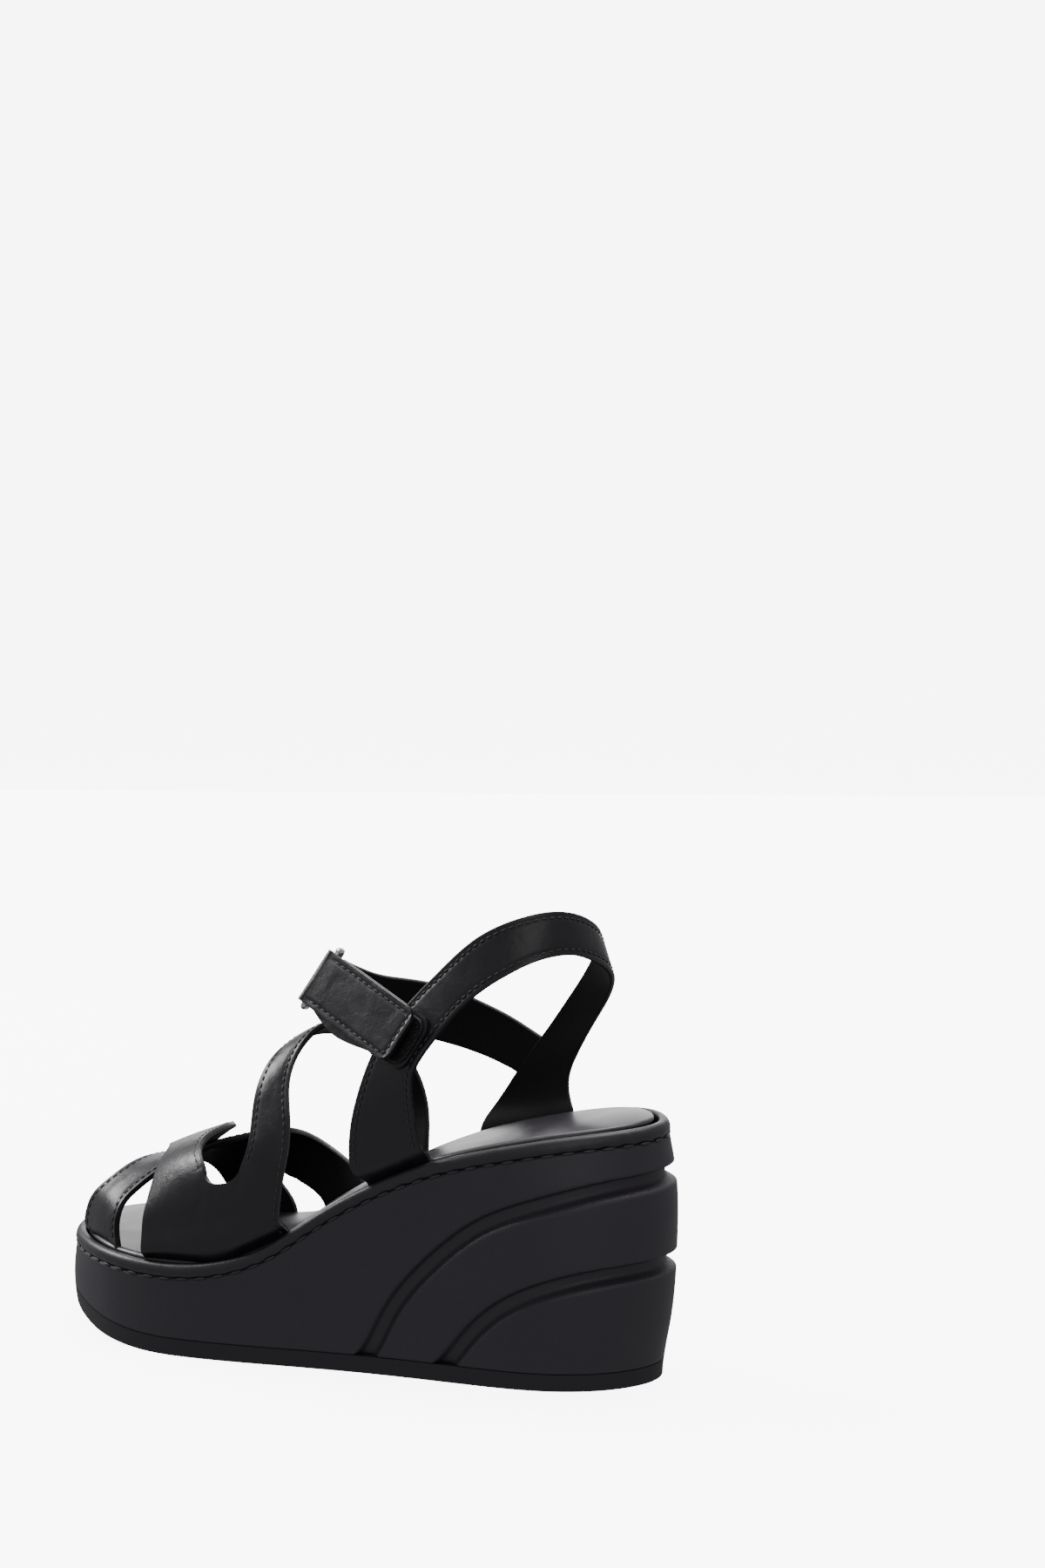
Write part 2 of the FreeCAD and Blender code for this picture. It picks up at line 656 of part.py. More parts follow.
upper = edge(HEEL_UPPER)
lower = edge(HEEL_LOWER)
for index in HEEL_UNDER_UPPER:
    upper[index] = under_strap(upper[index])
for index in HEEL_UNDER_LOWER:
    lower[index] = under_strap(lower[index])
heel_edges = [sampled(upper, 48), sampled(lower, 48)]
leather_and_lining("heel_strap", heel_edges, heel_middle)

half_tab = size("tab_width") / 2
TAB_PLAY = 0.25


def tab_point(reach, side):
    """Point of the instep strap's outer face between the tab's legs, reach beyond the ring bar."""
    rise = fold_inside - TAB_PLAY
    return tab_centre + ring_way * reach + across_strap * side + tab_normal * rise


tab_reaches = [fold_inside + 1.0 + size("tab_length") * share for share in (0.0, 0.25, 0.5, 0.75, 0.97)]
instep_edges = [sampled([tab_point(reach, half_tab) for reach in tab_reaches] + edge(INSTEP_UPPER)),
                sampled([tab_point(reach, -half_tab) for reach in tab_reaches] + edge(INSTEP_LOWER))]
leather_and_lining("instep_strap", instep_edges, foot_middle, seated=False)


# ---------------------------------------------------------------- ring, tab and closing strap

def rounded_run(start, end, low, high, half_width):
    """Flat strip of the closing strap with rounded tip corners, in the strap's own frame."""
    radius = size("tip_radius")
    box = Part.makeBox(end - start, 2 * half_width, high - low, Vec(start, -half_width, low))
    tips = [item for item in box.Edges
            if abs(item.CenterOfMass.x - end) < 0.01 and abs(item.CenterOfMass.y) > half_width - 0.01]
    return box.makeFillet(radius, tips)


def fold_round(inside, outside, half_width, start_angle, sweep):
    """Leather bent round a bar on the Y axis: part of a tube."""
    tube = Part.makeCylinder(outside, 2 * half_width, Vec(0, -half_width, 0), Vec(0, 1, 0), sweep)
    bore = Part.makeCylinder(inside, 2 * half_width, Vec(0, -half_width, 0), Vec(0, 1, 0))
    tube.rotate(Vec(0, 0, 0), Vec(0, 1, 0), start_angle)
    return tube.cut(bore)


half_strap = size("strap_width") / 2
strap_top = fold_inside + size("strap_leather")
flap_shape = fold_round(fold_inside, strap_top, half_strap, 180.0, 180.0)
flap_shape = flap_shape.fuse(rounded_run(0.0, size("flap_length"), fold_inside, strap_top, half_strap))
flap_shape = flap_shape.removeSplitter()
FOLD_CLEARANCE = 1.4
run_start = strap_top + FOLD_CLEARANCE


def belly_edge(start):
    """Lower edge of the strap's lower run, which bellies out below the flap."""
    belly = size("base_belly")
    return curve_through([Vec(start, -half_strap - 0.1 * belly, 0), Vec(11.5, -half_strap - 0.75 * belly, 0),
                          Vec(20.0, -half_strap - belly, 0), Vec(30.0, -half_strap - 0.55 * belly, 0),
                          Vec(39.0, -half_strap, 0)])


def base_run(start, end, low, high):
    """Lower run of the closing strap with its belly and rounded tip corners."""
    lower = belly_edge(start)
    corners_round = [lower.EndPoint, Vec(end, -half_strap, 0), Vec(end, half_strap, 0),
                     Vec(start, half_strap, 0), lower.StartPoint]
    lines = [Part.LineSegment(a, b).toShape() for a, b in zip(corners_round, corners_round[1:])]
    face = Part.Face(Part.Wire([lower.toShape()] + lines))
    face.translate(Vec(0, 0, low))
    run = face.extrude(Vec(0, 0, high - low))
    tips = [item for item in run.Edges
            if abs(item.CenterOfMass.x - end) < 0.01 and abs(item.CenterOfMass.y) > half_strap - 0.01]
    return run.makeFillet(size("tip_radius"), tips)


def patch(name, low, **cells):
    """Hook or loop patch: a padded sketch bound to the sheet, with rounded tip corners.

    cells: expressions for start, reach, wide and thick.
    """
    body = doc.addObject("PartDesign::Body", name)
    body.Label = name
    sketch = body.newObject("Sketcher::SketchObject", name + "_outline")
    sketch.AttachmentSupport = [(body.Origin.OriginFeatures[3], "")]
    sketch.MapMode = "FlatFace"
    corners = [Vec(10, -9, 0), Vec(40, -9, 0), Vec(40, 9, 0), Vec(10, 9, 0)]
    sketch.addGeometry([Part.LineSegment(a, b) for a, b in zip(corners, corners[1:] + corners[:1])], False)
    for rule in (("Coincident", 0, 2, 1, 1), ("Coincident", 1, 2, 2, 1), ("Coincident", 2, 2, 3, 1),
                 ("Coincident", 3, 2, 0, 1), ("Horizontal", 0), ("Vertical", 1), ("Horizontal", 2),
                 ("Symmetric", 0, 1, 3, 1, -1)):
        sketch.addConstraint(Sketcher.Constraint(*rule))
    for word, rule in (("start", ("DistanceX", -1, 1, 0, 1, 10.0)), ("reach", ("DistanceX", 0, 1, 0, 2, 30.0)),
                       ("wide", ("DistanceY", 1, 1, 1, 2, 18.0))):
        index = sketch.addConstraint(Sketcher.Constraint(*rule))
        sketch.renameConstraint(index, word)
        sketch.setExpression(f"Constraints.{word}", cells[word])
    pad = body.newObject("PartDesign::Pad", name + "_layer")
    pad.Profile = sketch
    bind(pad, Length=cells["thick"])
    doc.recompute()
    far_end = pad.Shape.BoundBox.XMax
    tips = [f"Edge{number}" for number, item in enumerate(pad.Shape.Edges, start=1)
            if abs(item.CenterOfMass.x - far_end) < 0.01 and abs(item.CenterOfMass.y) > 1.0]
    rounding = body.newObject("PartDesign::Fillet", name + "_corners")
    rounding.Base = (pad, tips)
    bind(rounding, Radius="Sizes.tip_radius")
    body.Placement = strap_place.multiply(FreeCAD.Placement(Vec(0, 0, low), FreeCAD.Rotation()))
    nodes.append(body)


keep("closing_strap_base", base_run(run_start, size("base_length"), -strap_top, -fold_inside), strap_place)
patch("loop_patch", -fold_inside, start="Sizes.patch_start",
      reach="Sizes.base_length - 1 - Sizes.patch_start",
      wide="Sizes.strap_width - 2 * Sizes.patch_edge", thick="Sizes.loop_thickness")
patch("hook_patch", fold_inside - size("hook_thickness"), start="Sizes.patch_start + 2",
      reach="Sizes.flap_length - Sizes.patch_edge - Sizes.patch_start - 2",
      wide="Sizes.strap_width - 2 * Sizes.patch_edge", thick="Sizes.hook_thickness")
keep("closing_flap", flap_shape, strap_place)

# The ring lies in the plane of the two bars: X towards the tab, Y along the bars.
ring_place = FreeCAD.Placement(fold_centre, tab_turn)
spacing = size("bar_spacing")
half_bar = size("bar_length") / 2
corner = size("ring_corner")
bend = corner * (1 - math.sqrt(0.5))
corners = []
for x, y, turn_x, turn_y in ((0, half_bar, 1, -1), (spacing, half_bar, -1, -1),
                             (spacing, -half_bar, -1, 1), (0, -half_bar, 1, 1)):
    leg_x = Vec(x + turn_x * corner, y, 0)
    leg_y = Vec(x, y + turn_y * corner, 0)
    corners.append((leg_x, Vec(x + turn_x * bend, y + turn_y * bend, 0), leg_y))
path = []
for index, (leg_x, middle, leg_y) in enumerate(corners):
    arc_ends = (leg_y, leg_x) if index % 2 == 0 else (leg_x, leg_y)
    path.append(Part.Arc(arc_ends[0], middle, arc_ends[1]).toShape())
    next_x, _, next_y = corners[(index + 1) % 4]
    next_start = next_x if index % 2 == 0 else next_y
    path.append(Part.LineSegment(arc_ends[1], next_start).toShape())
# The sweep starts in the middle of the ring's first short side.
side = path.pop(1)
seam = Vec(spacing / 2, half_bar, 0)
side_halves = [Part.LineSegment(corners[0][0], seam).toShape(), Part.LineSegment(seam, corners[1][0]).toShape()]
ring_path = Part.Wire([side_halves[1]] + path[1:] + [path[0], side_halves[0]])
wire_section = Part.Wire([Part.makeCircle(size("wire_radius"), seam, Vec(1, 0, 0))])
ring_shape = ring_path.makePipeShell([wire_section], True, False)
keep("strap_ring", ring_shape, ring_place)

tab_inside = fold_inside
tab_outside = tab_inside + size("tab_leather")
tab_shape = fold_round(tab_inside, tab_outside, half_tab, 180.0, 180.0)
for low, high in ((tab_inside, tab_outside), (-tab_outside, -tab_inside)):
    leg = Part.makeBox(size("tab_length"), 2 * half_tab, high - low, Vec(0, -half_tab, low))
    tab_shape = tab_shape.fuse(leg)
keep("ring_tab", tab_shape.removeSplitter(), tab_place)


# ---------------------------------------------------------------- checks and export

doc.recompute()
for item in doc.Objects:
    if "Invalid" in item.State or "Error" in item.State:
        raise RuntimeError(f"{item.Name} did not compute")
os.makedirs("parts", exist_ok=True)
for item in nodes:
    shape = item.Shape
    if shape.isNull() or not shape.isValid() or not shape.Solids:
        raise RuntimeError(f"{item.Label} has no valid solid")
    if shape.Volume <= 0:
        raise RuntimeError(f"{item.Label} is inside out")
    print(f"{item.Label}: {len(shape.Solids)} solid(s), {shape.Volume / 1000:.2f} cm3")
    shape.exportStep(os.path.join("parts", item.Label + ".step"))
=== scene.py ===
"""Left-foot wedge sandal: moulded wedge, padded footbed, crossing straps, and a ring-and-flap closure."""

import logging
import math
from collections.abc import Callable
from dataclasses import dataclass
from enum import Enum

import bpy
import numpy as np
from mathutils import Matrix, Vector


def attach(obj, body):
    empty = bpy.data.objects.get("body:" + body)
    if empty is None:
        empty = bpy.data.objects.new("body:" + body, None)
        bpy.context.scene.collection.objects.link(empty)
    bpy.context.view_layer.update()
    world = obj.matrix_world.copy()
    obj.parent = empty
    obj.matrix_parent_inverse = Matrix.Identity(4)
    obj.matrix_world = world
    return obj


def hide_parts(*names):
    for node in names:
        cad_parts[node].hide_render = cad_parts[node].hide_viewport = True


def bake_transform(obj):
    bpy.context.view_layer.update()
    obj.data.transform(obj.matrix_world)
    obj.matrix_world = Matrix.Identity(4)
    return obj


logging.basicConfig(level=logging.INFO, format="%(levelname)s %(message)s")
log = logging.getLogger("wedge_sandal")

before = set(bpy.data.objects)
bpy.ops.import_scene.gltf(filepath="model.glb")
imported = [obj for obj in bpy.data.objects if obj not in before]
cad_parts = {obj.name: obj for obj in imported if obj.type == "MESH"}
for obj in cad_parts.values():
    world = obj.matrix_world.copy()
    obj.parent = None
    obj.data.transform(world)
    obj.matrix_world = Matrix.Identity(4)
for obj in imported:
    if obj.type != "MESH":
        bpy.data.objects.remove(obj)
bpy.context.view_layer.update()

MM = 0.001
SHARP_DEG = 50.0
Array = np.ndarray
Station = tuple[float, float, float]
Place = tuple[float, float, float]


class Body(str, Enum):
    """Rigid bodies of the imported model."""

    SANDAL = "sandal"
    RING = "ring"
    FLAP = "flap"


class Slot(str, Enum):
    """Material slots of the record."""

    OUTSOLE = "outsole_rubber"
    WEDGE = "wedge_cover"
    RIM = "rim_leather"
    THREAD = "thread"
    BOARD = "board"
    SHANK = "shank_steel"
    FOAM = "foam"
    FOOTBED = "footbed_leather"
    UPPER = "upper_leather"
    LINING = "lining_leather"
    LOOP = "loop_pile"
    HOOK = "hook_tape"
    RING = "ring_metal"


# ---------------------------------------------------------------- materials


def linear_colour(code: str) -> tuple[float, float, float, float]:
    """Linear RGBA of an sRGB hex colour.

    Args:
        code: Colour such as "#1f1e22".

    Returns:
        Linear red, green, blue and an alpha of one.
    """
    values = np.array([int(code[i:i + 2], 16) / 255 for i in (1, 3, 5)])
    linear = np.where(values <= 0.04045, values / 12.92, ((values + 0.055) / 1.055) ** 2.4)
    return (*linear.tolist(), 1.0)


def add_node(tree: bpy.types.NodeTree, kind: str, settings: dict | None = None,
             links: dict | None = None) -> bpy.types.Node:
    """Adds one shader node.

    Args:
        tree: Node tree of the material.
        kind: Node type name.
        settings: Attribute names, or input names or numbers, with their values.
        links: Input names or numbers with the output socket each one takes.

    Returns:
        The new node.
    """
    node = tree.nodes.new(kind)
    for name, value in (settings or {}).items():
        if isinstance(name, str) and hasattr(node, name):
            setattr(node, name, value)
        else:
            node.inputs[name].default_value = value
    for name, socket in (links or {}).items():
        tree.links.new(socket, node.inputs[name])
    return node


@dataclass(frozen=True)
class Finish:
    """One real surface: two tones, gloss, and bumps at their real scale.

    Sizes are millimetres. grain is the width of one grain cell, crease the distance between soft
    folds or moulding waves, and grit the width of the finest speckle.
    """

    name: str
    dark: str
    light: str
    roughness: float
    roughness_spread: float = 0.06
    metallic: float = 0.0
    grain_mm: float = 0.9
    grain_height_mm: float = 0.02
    crease_mm: float = 14.0
    crease_height_mm: float = 0.12
    grit_mm: float = 0.25
    grit_height_mm: float = 0.01
    specular: float = 0.5
    stretch: tuple[float, float, float] = (1.0, 1.0, 1.0)
    ior: float = 1.5
    glow: float = 0.0

    def material(self) -> bpy.types.Material:
        """Makes the node material.

        Returns:
            Principled surface whose colour and gloss drift with soft noise, and whose bump adds
            cell grain, fine grit and long creases, each at its own real size.
        """
        made = bpy.data.materials.get(self.name)
        if made:
            return made
        made = bpy.data.materials.new(self.name)
        made.use_nodes = True
        tree = made.node_tree
        tree.nodes.clear()
        place = add_node(tree, "ShaderNodeTexCoord")
        turned = add_node(tree, "ShaderNodeMapping", {"Scale": self.stretch},
                          {"Vector": place.outputs["Object"]})
        where = turned.outputs["Vector"]
        grain = add_node(tree, "ShaderNodeTexVoronoi", {"Scale": 1 / (self.grain_mm * MM), "Randomness": 0.9},
                         {"Vector": where})
        crease = add_node(tree, "ShaderNodeTexNoise", {"Scale": 1 / (self.crease_mm * MM), "Detail": 5.0,
                                                       "Roughness": 0.55, "Distortion": 0.4},
                          {"Vector": where})
        grit = add_node(tree, "ShaderNodeTexNoise", {"Scale": 1 / (self.grit_mm * MM), "Detail": 2.0},
                        {"Vector": where})
        tone = add_node(tree, "ShaderNodeMixRGB", {"Color1": linear_colour(self.dark),
                                                   "Color2": linear_colour(self.light)},
                        {"Fac": crease.outputs["Fac"]})
        speck = add_node(tree, "ShaderNodeMapRange", {"From Min": 0.35, "From Max": 0.65, "To Min": 0.9,
                                                      "To Max": 1.1}, {"Value": grit.outputs["Fac"]})
        colour = add_node(tree, "ShaderNodeVectorMath", {"operation": "MULTIPLY"},
                          {0: tone.outputs["Color"], 1: speck.outputs["Result"]})
        gloss = add_node(tree, "ShaderNodeMapRange",
                         {"From Min": 0.3, "From Max": 0.7, "To Min": self.roughness - self.roughness_spread,
                          "To Max": self.roughness + self.roughness_spread}, {"Value": crease.outputs["Fac"]})
        coarse = add_node(tree, "ShaderNodeBump", {"Strength": 1.0, "Distance": self.crease_height_mm * MM},
                          {"Height": crease.outputs["Fac"]})
        middle = add_node(tree, "ShaderNodeBump", {"Strength": 1.0, "Distance": self.grain_height_mm * MM},
                          {"Height": grain.outputs["Distance"], "Normal": coarse.outputs["Normal"]})
        fine = add_node(tree, "ShaderNodeBump", {"Strength": 1.0, "Distance": self.grit_height_mm * MM},
                        {"Height": grit.outputs["Fac"], "Normal": middle.outputs["Normal"]})
        surface = add_node(tree, "ShaderNodeBsdfPrincipled",
                           {"Metallic": self.metallic, "Specular IOR Level": self.specular, "IOR": self.ior,
                            "Emission Color": (1.0, 1.0, 1.0, 1.0), "Emission Strength": self.glow},
                           {"Base Color": colour.outputs["Vector"], "Roughness": gloss.outputs["Result"],
                            "Normal": fine.outputs["Normal"]})
        add_node(tree, "ShaderNodeOutputMaterial", None, {"Surface": surface.outputs["BSDF"]})
        return made


# Chrome-tanned side leather with a pigmented, lightly polished grain: black with a violet cast,
# a broad soft highlight, and faint pull-up folds.
UPPER_LEATHER = Finish("side_leather_pigmented", "#121015", "#1a171e", 0.36, grain_mm=0.7,
                       grain_height_mm=0.02, crease_mm=9.0, crease_height_mm=0.4, specular=0.42)
# Split-leather lining: the same colour, but dull and slightly fibrous.
LINING_LEATHER = Finish("pigskin_lining", "#0e0c10", "#141216", 0.66, grain_mm=1.1, grain_height_mm=0.02,
                        crease_mm=12.0, crease_height_mm=0.2, specular=0.22)
# Leather lasted round the rim and pulled tight: smooth, a little glossier on its bend.
RIM_LEATHER = Finish("lasted_rim_leather", "#1b181e", "#232027", 0.44, grain_mm=0.6,
                     grain_height_mm=0.015, crease_mm=9.0, crease_height_mm=0.3, specular=0.45)
# Polished sock leather over foam: catches a long pale highlight.
FOOTBED_LEATHER = Finish("polished_sock_leather", "#232026", "#2d2930", 0.33, grain_mm=0.8,
                         grain_height_mm=0.01, crease_mm=26.0, crease_height_mm=0.4, specular=0.6)
# Polyurethane foam moulded in a blasted steel mould: fine matte pebble that glints in places.
WEDGE_FOAM = Finish("moulded_polyurethane", "#252129", "#2c2831", 0.52, grain_mm=0.55,
                    grain_height_mm=0.05, crease_mm=30.0, crease_height_mm=0.15, grit_mm=0.3,
                    grit_height_mm=0.035, specular=0.42)
# Vulcanised rubber outsole: even, matte, faintly dusty.
OUTSOLE_RUBBER = Finish("vulcanised_rubber", "#211e24", "#28252c", 0.6, grain_mm=0.5,
                        grain_height_mm=0.015, crease_mm=22.0, crease_height_mm=0.05, specular=0.28)
# Bonded polyester thread, waxed.
WAXED_THREAD = Finish("bonded_polyester_thread", "#2a272e", "#38343d", 0.45, grain_mm=0.35,
                      grain_height_mm=0.04, crease_mm=3.0, crease_height_mm=0.05, specular=0.4)
# Knitted nylon loop pile: very dark, with stray filaments that sparkle.
LOOP_PILE = Finish("knitted_nylon_loop", "#060607", "#0d0c0f", 0.42, grain_mm=0.4, grain_height_mm=0.1,
                   crease_mm=2.5, crease_height_mm=0.2, specular=0.45)
# Injection-moulded nylon hook tape: darker and plastic, slightly shiny.
HOOK_NYLON = Finish("moulded_nylon_hook", "#0c0c0e", "#121214", 0.38, grain_mm=0.8, grain_height_mm=0.02)
# Bent steel wire, nickel plated and polished.
NICKEL_WIRE = Finish("nickel_plated_wire", "#b6b4b8", "#c9c7ca", 0.18, 0.05, metallic=1.0, grain_mm=2.0,
                     grain_height_mm=0.003, crease_mm=5.0, crease_height_mm=0.01)
# Hardened spring strip, plain and slightly blued.
SPRING_STEEL = Finish("spring_steel_strip", "#77787e", "#8c8d92", 0.34, metallic=1.0,
                      stretch=(0.15, 1.0, 1.0), crease_height_mm=0.02)
# Pressed cellulose board, as under every insole.
FIBRE_BOARD = Finish("pressed_fibre_board", "#6e5a45", "#8a7358", 0.85, grain_mm=1.4,
                     grain_height_mm=0.1, specular=0.25)
# Open-cell foam under the sock leather.
OPEN_CELL_FOAM = Finish("open_cell_foam", "#232226", "#2e2d31", 0.9, grain_mm=0.9, grain_height_mm=0.2,
                        specular=0.2)
# Painted seamless backdrop.
STUDIO_PAPER = Finish("studio_paper", "#f8f8f9", "#fafafb", 0.9, grain_mm=3.0, grain_height_mm=0.0,
                      crease_height_mm=0.0, grit_height_mm=0.0, specular=0.1, glow=7.0)


# ---------------------------------------------------------------- curves


def smooth_step(value: Array) -> Array:
    """Zero below 0, one above 1, and an S-shaped cubic between."""
    held = np.clip(value, 0.0, 1.0)
    return held * held * (3 - 2 * held)


def travelled(path: Array) -> Array:
    """Distance of each point of a path from its first one, along straight stretches."""
    return np.concatenate([[0.0], np.cumsum(np.linalg.norm(np.diff(path, axis=0), axis=1))])


def spline(points: Array, count: int, closed: bool = False) -> Array:
    """Smooth curve through points.

    The parameter is the distance from point to point.  Each stretch is a cubic, and slope and
    curvature agree where stretches meet.  An open curve has no curvature at its ends.

    Args:
        points: (n, d) points.
        count: How many samples to return, evenly spaced in the parameter.
        closed: True for a loop, whose first point isn't repeated in points or in the result.

    Returns:
        (count, d) samples.
    """
    given = np.asarray(points, float)
    if closed:
        given = np.vstack([given, given[:1]])
    step = np.linalg.norm(np.diff(given, axis=0), axis=1)
    knots = travelled(given)
    size = len(given)
    matrix = np.zeros((size, size))
    right = np.zeros((size, given.shape[1]))
    inner = np.arange(1, size - 1)
    matrix[inner, inner - 1] = step[:-1]
    matrix[inner, inner] = 2 * (step[:-1] + step[1:])
    matrix[inner, inner + 1] = step[1:]
    slope = np.diff(given, axis=0) / step[:, None]
    right[1:-1] = 6 * np.diff(slope, axis=0)
    if closed:
        matrix[0, [0, 1, -2, -1]] = [2 * step[0], step[0], step[-1], 2 * step[-1]]
        right[0] = 6 * (slope[0] - slope[-1])
        matrix[-1, [0, -1]] = [1.0, -1.0]
    else:
        matrix[0, 0] = matrix[-1, -1] = 1.0
    bend = np.linalg.solve(matrix, right)
    where = np.linspace(0, knots[-1], count + 1)[:-1] if closed else np.linspace(0, knots[-1], count)
    index = np.clip(np.searchsorted(knots, where, side="right") - 1, 0, size - 2)
    wide = step[index][:, None]
    late = (where - knots[index])[:, None] / wide
    early = 1 - late
    return (early * given[index] + late * given[index + 1]
            + ((early ** 3 - early) * bend[index] + (late ** 3 - late) * bend[index + 1]) * wide ** 2 / 6)


def along_path(path: Array, distances: Array) -> Array:
    """Points at given distances along a path of straight stretches.

    Args:
        path: (n, 3) points.
        distances: Distances from the first point.

    Returns:
        (len(distances), 3) points.
    """
    passed = travelled(path)
    return np.stack([np.interp(distances, passed, path[:, axis]) for axis in range(path.shape[1])], axis=1)


def evenly_along(path: Array, spacing: float) -> Array:
    """Points at even spacing along a path of straight stretches."""
    total = np.linalg.norm(np.diff(path, axis=0), axis=1).sum()
    return along_path(path, np.arange(0, total, spacing))


def unit(vectors: Array) -> Array:
    """Vectors divided by their lengths."""
    return vectors / np.maximum(np.linalg.norm(vectors, axis=-1, keepdims=True), 1e-12)


# ---------------------------------------------------------------- meshes


def make_piece(name: str, vertices: Array, faces: list[Array], finish: Finish,
               body: Body | None, replaced: tuple[str, ...] = ()) -> bpy.types.Object:
    """Makes one shaded object from whole arrays and puts it on its body.

    Args:
        name: Object name.
        vertices: (n, 3) places in millimetres.
        faces: Arrays of vertex numbers, one row a face; each array has one face width.
        finish: Surface finish.
        body: Body that it rides on; None leaves it on no body.
        replaced: CAD nodes it stands for.

    Returns:
        The object.
    """
    mesh = bpy.data.meshes.new(name)
    loops = np.concatenate([rows.reshape(-1) for rows in faces]).astype(np.int32)
    widths = np.concatenate([np.full(len(rows), rows.shape[1]) for rows in faces]).astype(np.int32)
    mesh.vertices.add(len(vertices))
    mesh.vertices.foreach_set("co", (np.asarray(vertices, np.float32) * MM).reshape(-1))
    mesh.loops.add(len(loops))
    mesh.loops.foreach_set("vertex_index", loops)
    mesh.polygons.add(len(widths))
    mesh.polygons.foreach_set("loop_start", np.concatenate([[0], np.cumsum(widths)[:-1]]).astype(np.int32))
    mesh.polygons.foreach_set("use_smooth", np.ones(len(widths), bool))
    mesh.update(calc_edges=True)
    mesh.validate()
    mesh.materials.append(finish.material())
    piece = bpy.data.objects.new(name, mesh)
    bpy.context.scene.collection.objects.link(piece)
    if body is not None:
        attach(piece, body.value)
    if replaced:
        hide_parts(*replaced)
    log.info("%s: %d vertices, %d faces", name, len(vertices), len(widths))
    return piece


def soften_edges(piece: bpy.types.Object, width_mm: float, segments: int = 2) -> None:
    """Rounds the piece's sharp edges.

    Args:
        piece: Object to change.
        width_mm: Width of the rounding.
        segments: Facets across it.
    """
    bevel = piece.modifiers.new("rounded_edges", "BEVEL")
    bevel.width = width_mm * MM
    bevel.segments = segments
    bevel.limit_method = "ANGLE"
    bevel.angle_limit = math.radians(SHARP_DEG)
    bevel.harden_normals = False


def grid_faces(rows: int, columns: int, wrap: bool = False) -> Array:
    """Quads of a grid of points stored row by row.

    Args:
        rows: Points one way.
        columns: Points the other way.
        wrap: True if the last column joins the first.

    Returns:
        (n, 4) vertex numbers.
    """
    numbers = np.arange(rows * columns).reshape(rows, columns)
    if wrap:
        numbers = np.concatenate([numbers, numbers[:, :1]], axis=1)
    return np.stack([numbers[:-1, :-1], numbers[1:, :-1], numbers[1:, 1:], numbers[:-1, 1:]],
                    axis=-1).reshape(-1, 4)


def copies(faces: Array, count: int, size: int) -> Array:
    """Faces of count copies of a small mesh of size points, stored one copy after another."""
    return (faces[None] + (np.arange(count) * size)[:, None, None]).reshape(-1, faces.shape[1])


def sheet_solid(outer: Array, inner: Array, kept: Array | None = None) -> tuple[Array, Array]:
    """Closed solid between two grids.

    Where a kept cell has no kept neighbour, a wall joins the outer grid to the inner one.

    Args:
        outer: (r, c, 3) outer surface.
        inner: (r, c, 3) inner surface.
        kept: (r - 1, c - 1) True for each cell that is there; None keeps every cell.

    Returns:
        Vertices and quads, with unused vertices left out and faces pointing outwards.
    """
    rows, columns = outer.shape[:2]
    if kept is None:
        kept = np.ones((rows - 1, columns - 1), bool)
    count = rows * columns
    numbers = np.arange(count).reshape(rows, columns)
    cells = np.stack([numbers[:-1, :-1], numbers[1:, :-1], numbers[1:, 1:], numbers[:-1, 1:]], axis=-1)
    top = cells[kept]
    padded = np.pad(kept, 1)
    walls = []
    for shift, pair in (((0, -1), (0, 1)), ((1, 0), (1, 2)), ((0, 1), (2, 3)), ((-1, 0), (3, 0))):
        beside = padded[1 + shift[0]:rows + shift[0], 1 + shift[1]:columns + shift[1]]
        border = cells[kept & ~beside]
        start, end = border[:, pair[0]], border[:, pair[1]]
        walls.append(np.stack([end, start, start + count, end + count], axis=1))
    faces = np.concatenate([top, top[:, ::-1] + count, *walls])
    vertices = np.concatenate([outer.reshape(-1, 3), inner.reshape(-1, 3)])
    first = top[len(top) // 2]
    across = np.cross(vertices[first[1]] - vertices[first[0]], vertices[first[3]] - vertices[first[0]])
    if np.dot(across, vertices[first[0]] - vertices[first[0] + count]) < 0:
        faces = faces[:, ::-1]
    used, renumbered = np.unique(faces, return_inverse=True)
    return vertices[used], renumbered.reshape(faces.shape)


def grid_normals(grid: Array, inside: Array) -> Array:
    """Unit normals of a grid, pointing away from inner points.

    The normal is the cross product of the slopes along the two grid directions.

    Args:
        grid: (r, c, 3) surface.
        inside: Points on the inner side, one for each grid point or broadcast to them.

    Returns:
        (r, c, 3) unit normals.
    """
    normal = unit(np.cross(np.gradient(grid, axis=0), np.gradient(grid, axis=1)))
    outwards = np.sum(normal * (grid - inside), axis=-1)
    return normal * np.where(np.sum(outwards) < 0, -1.0, 1.0)


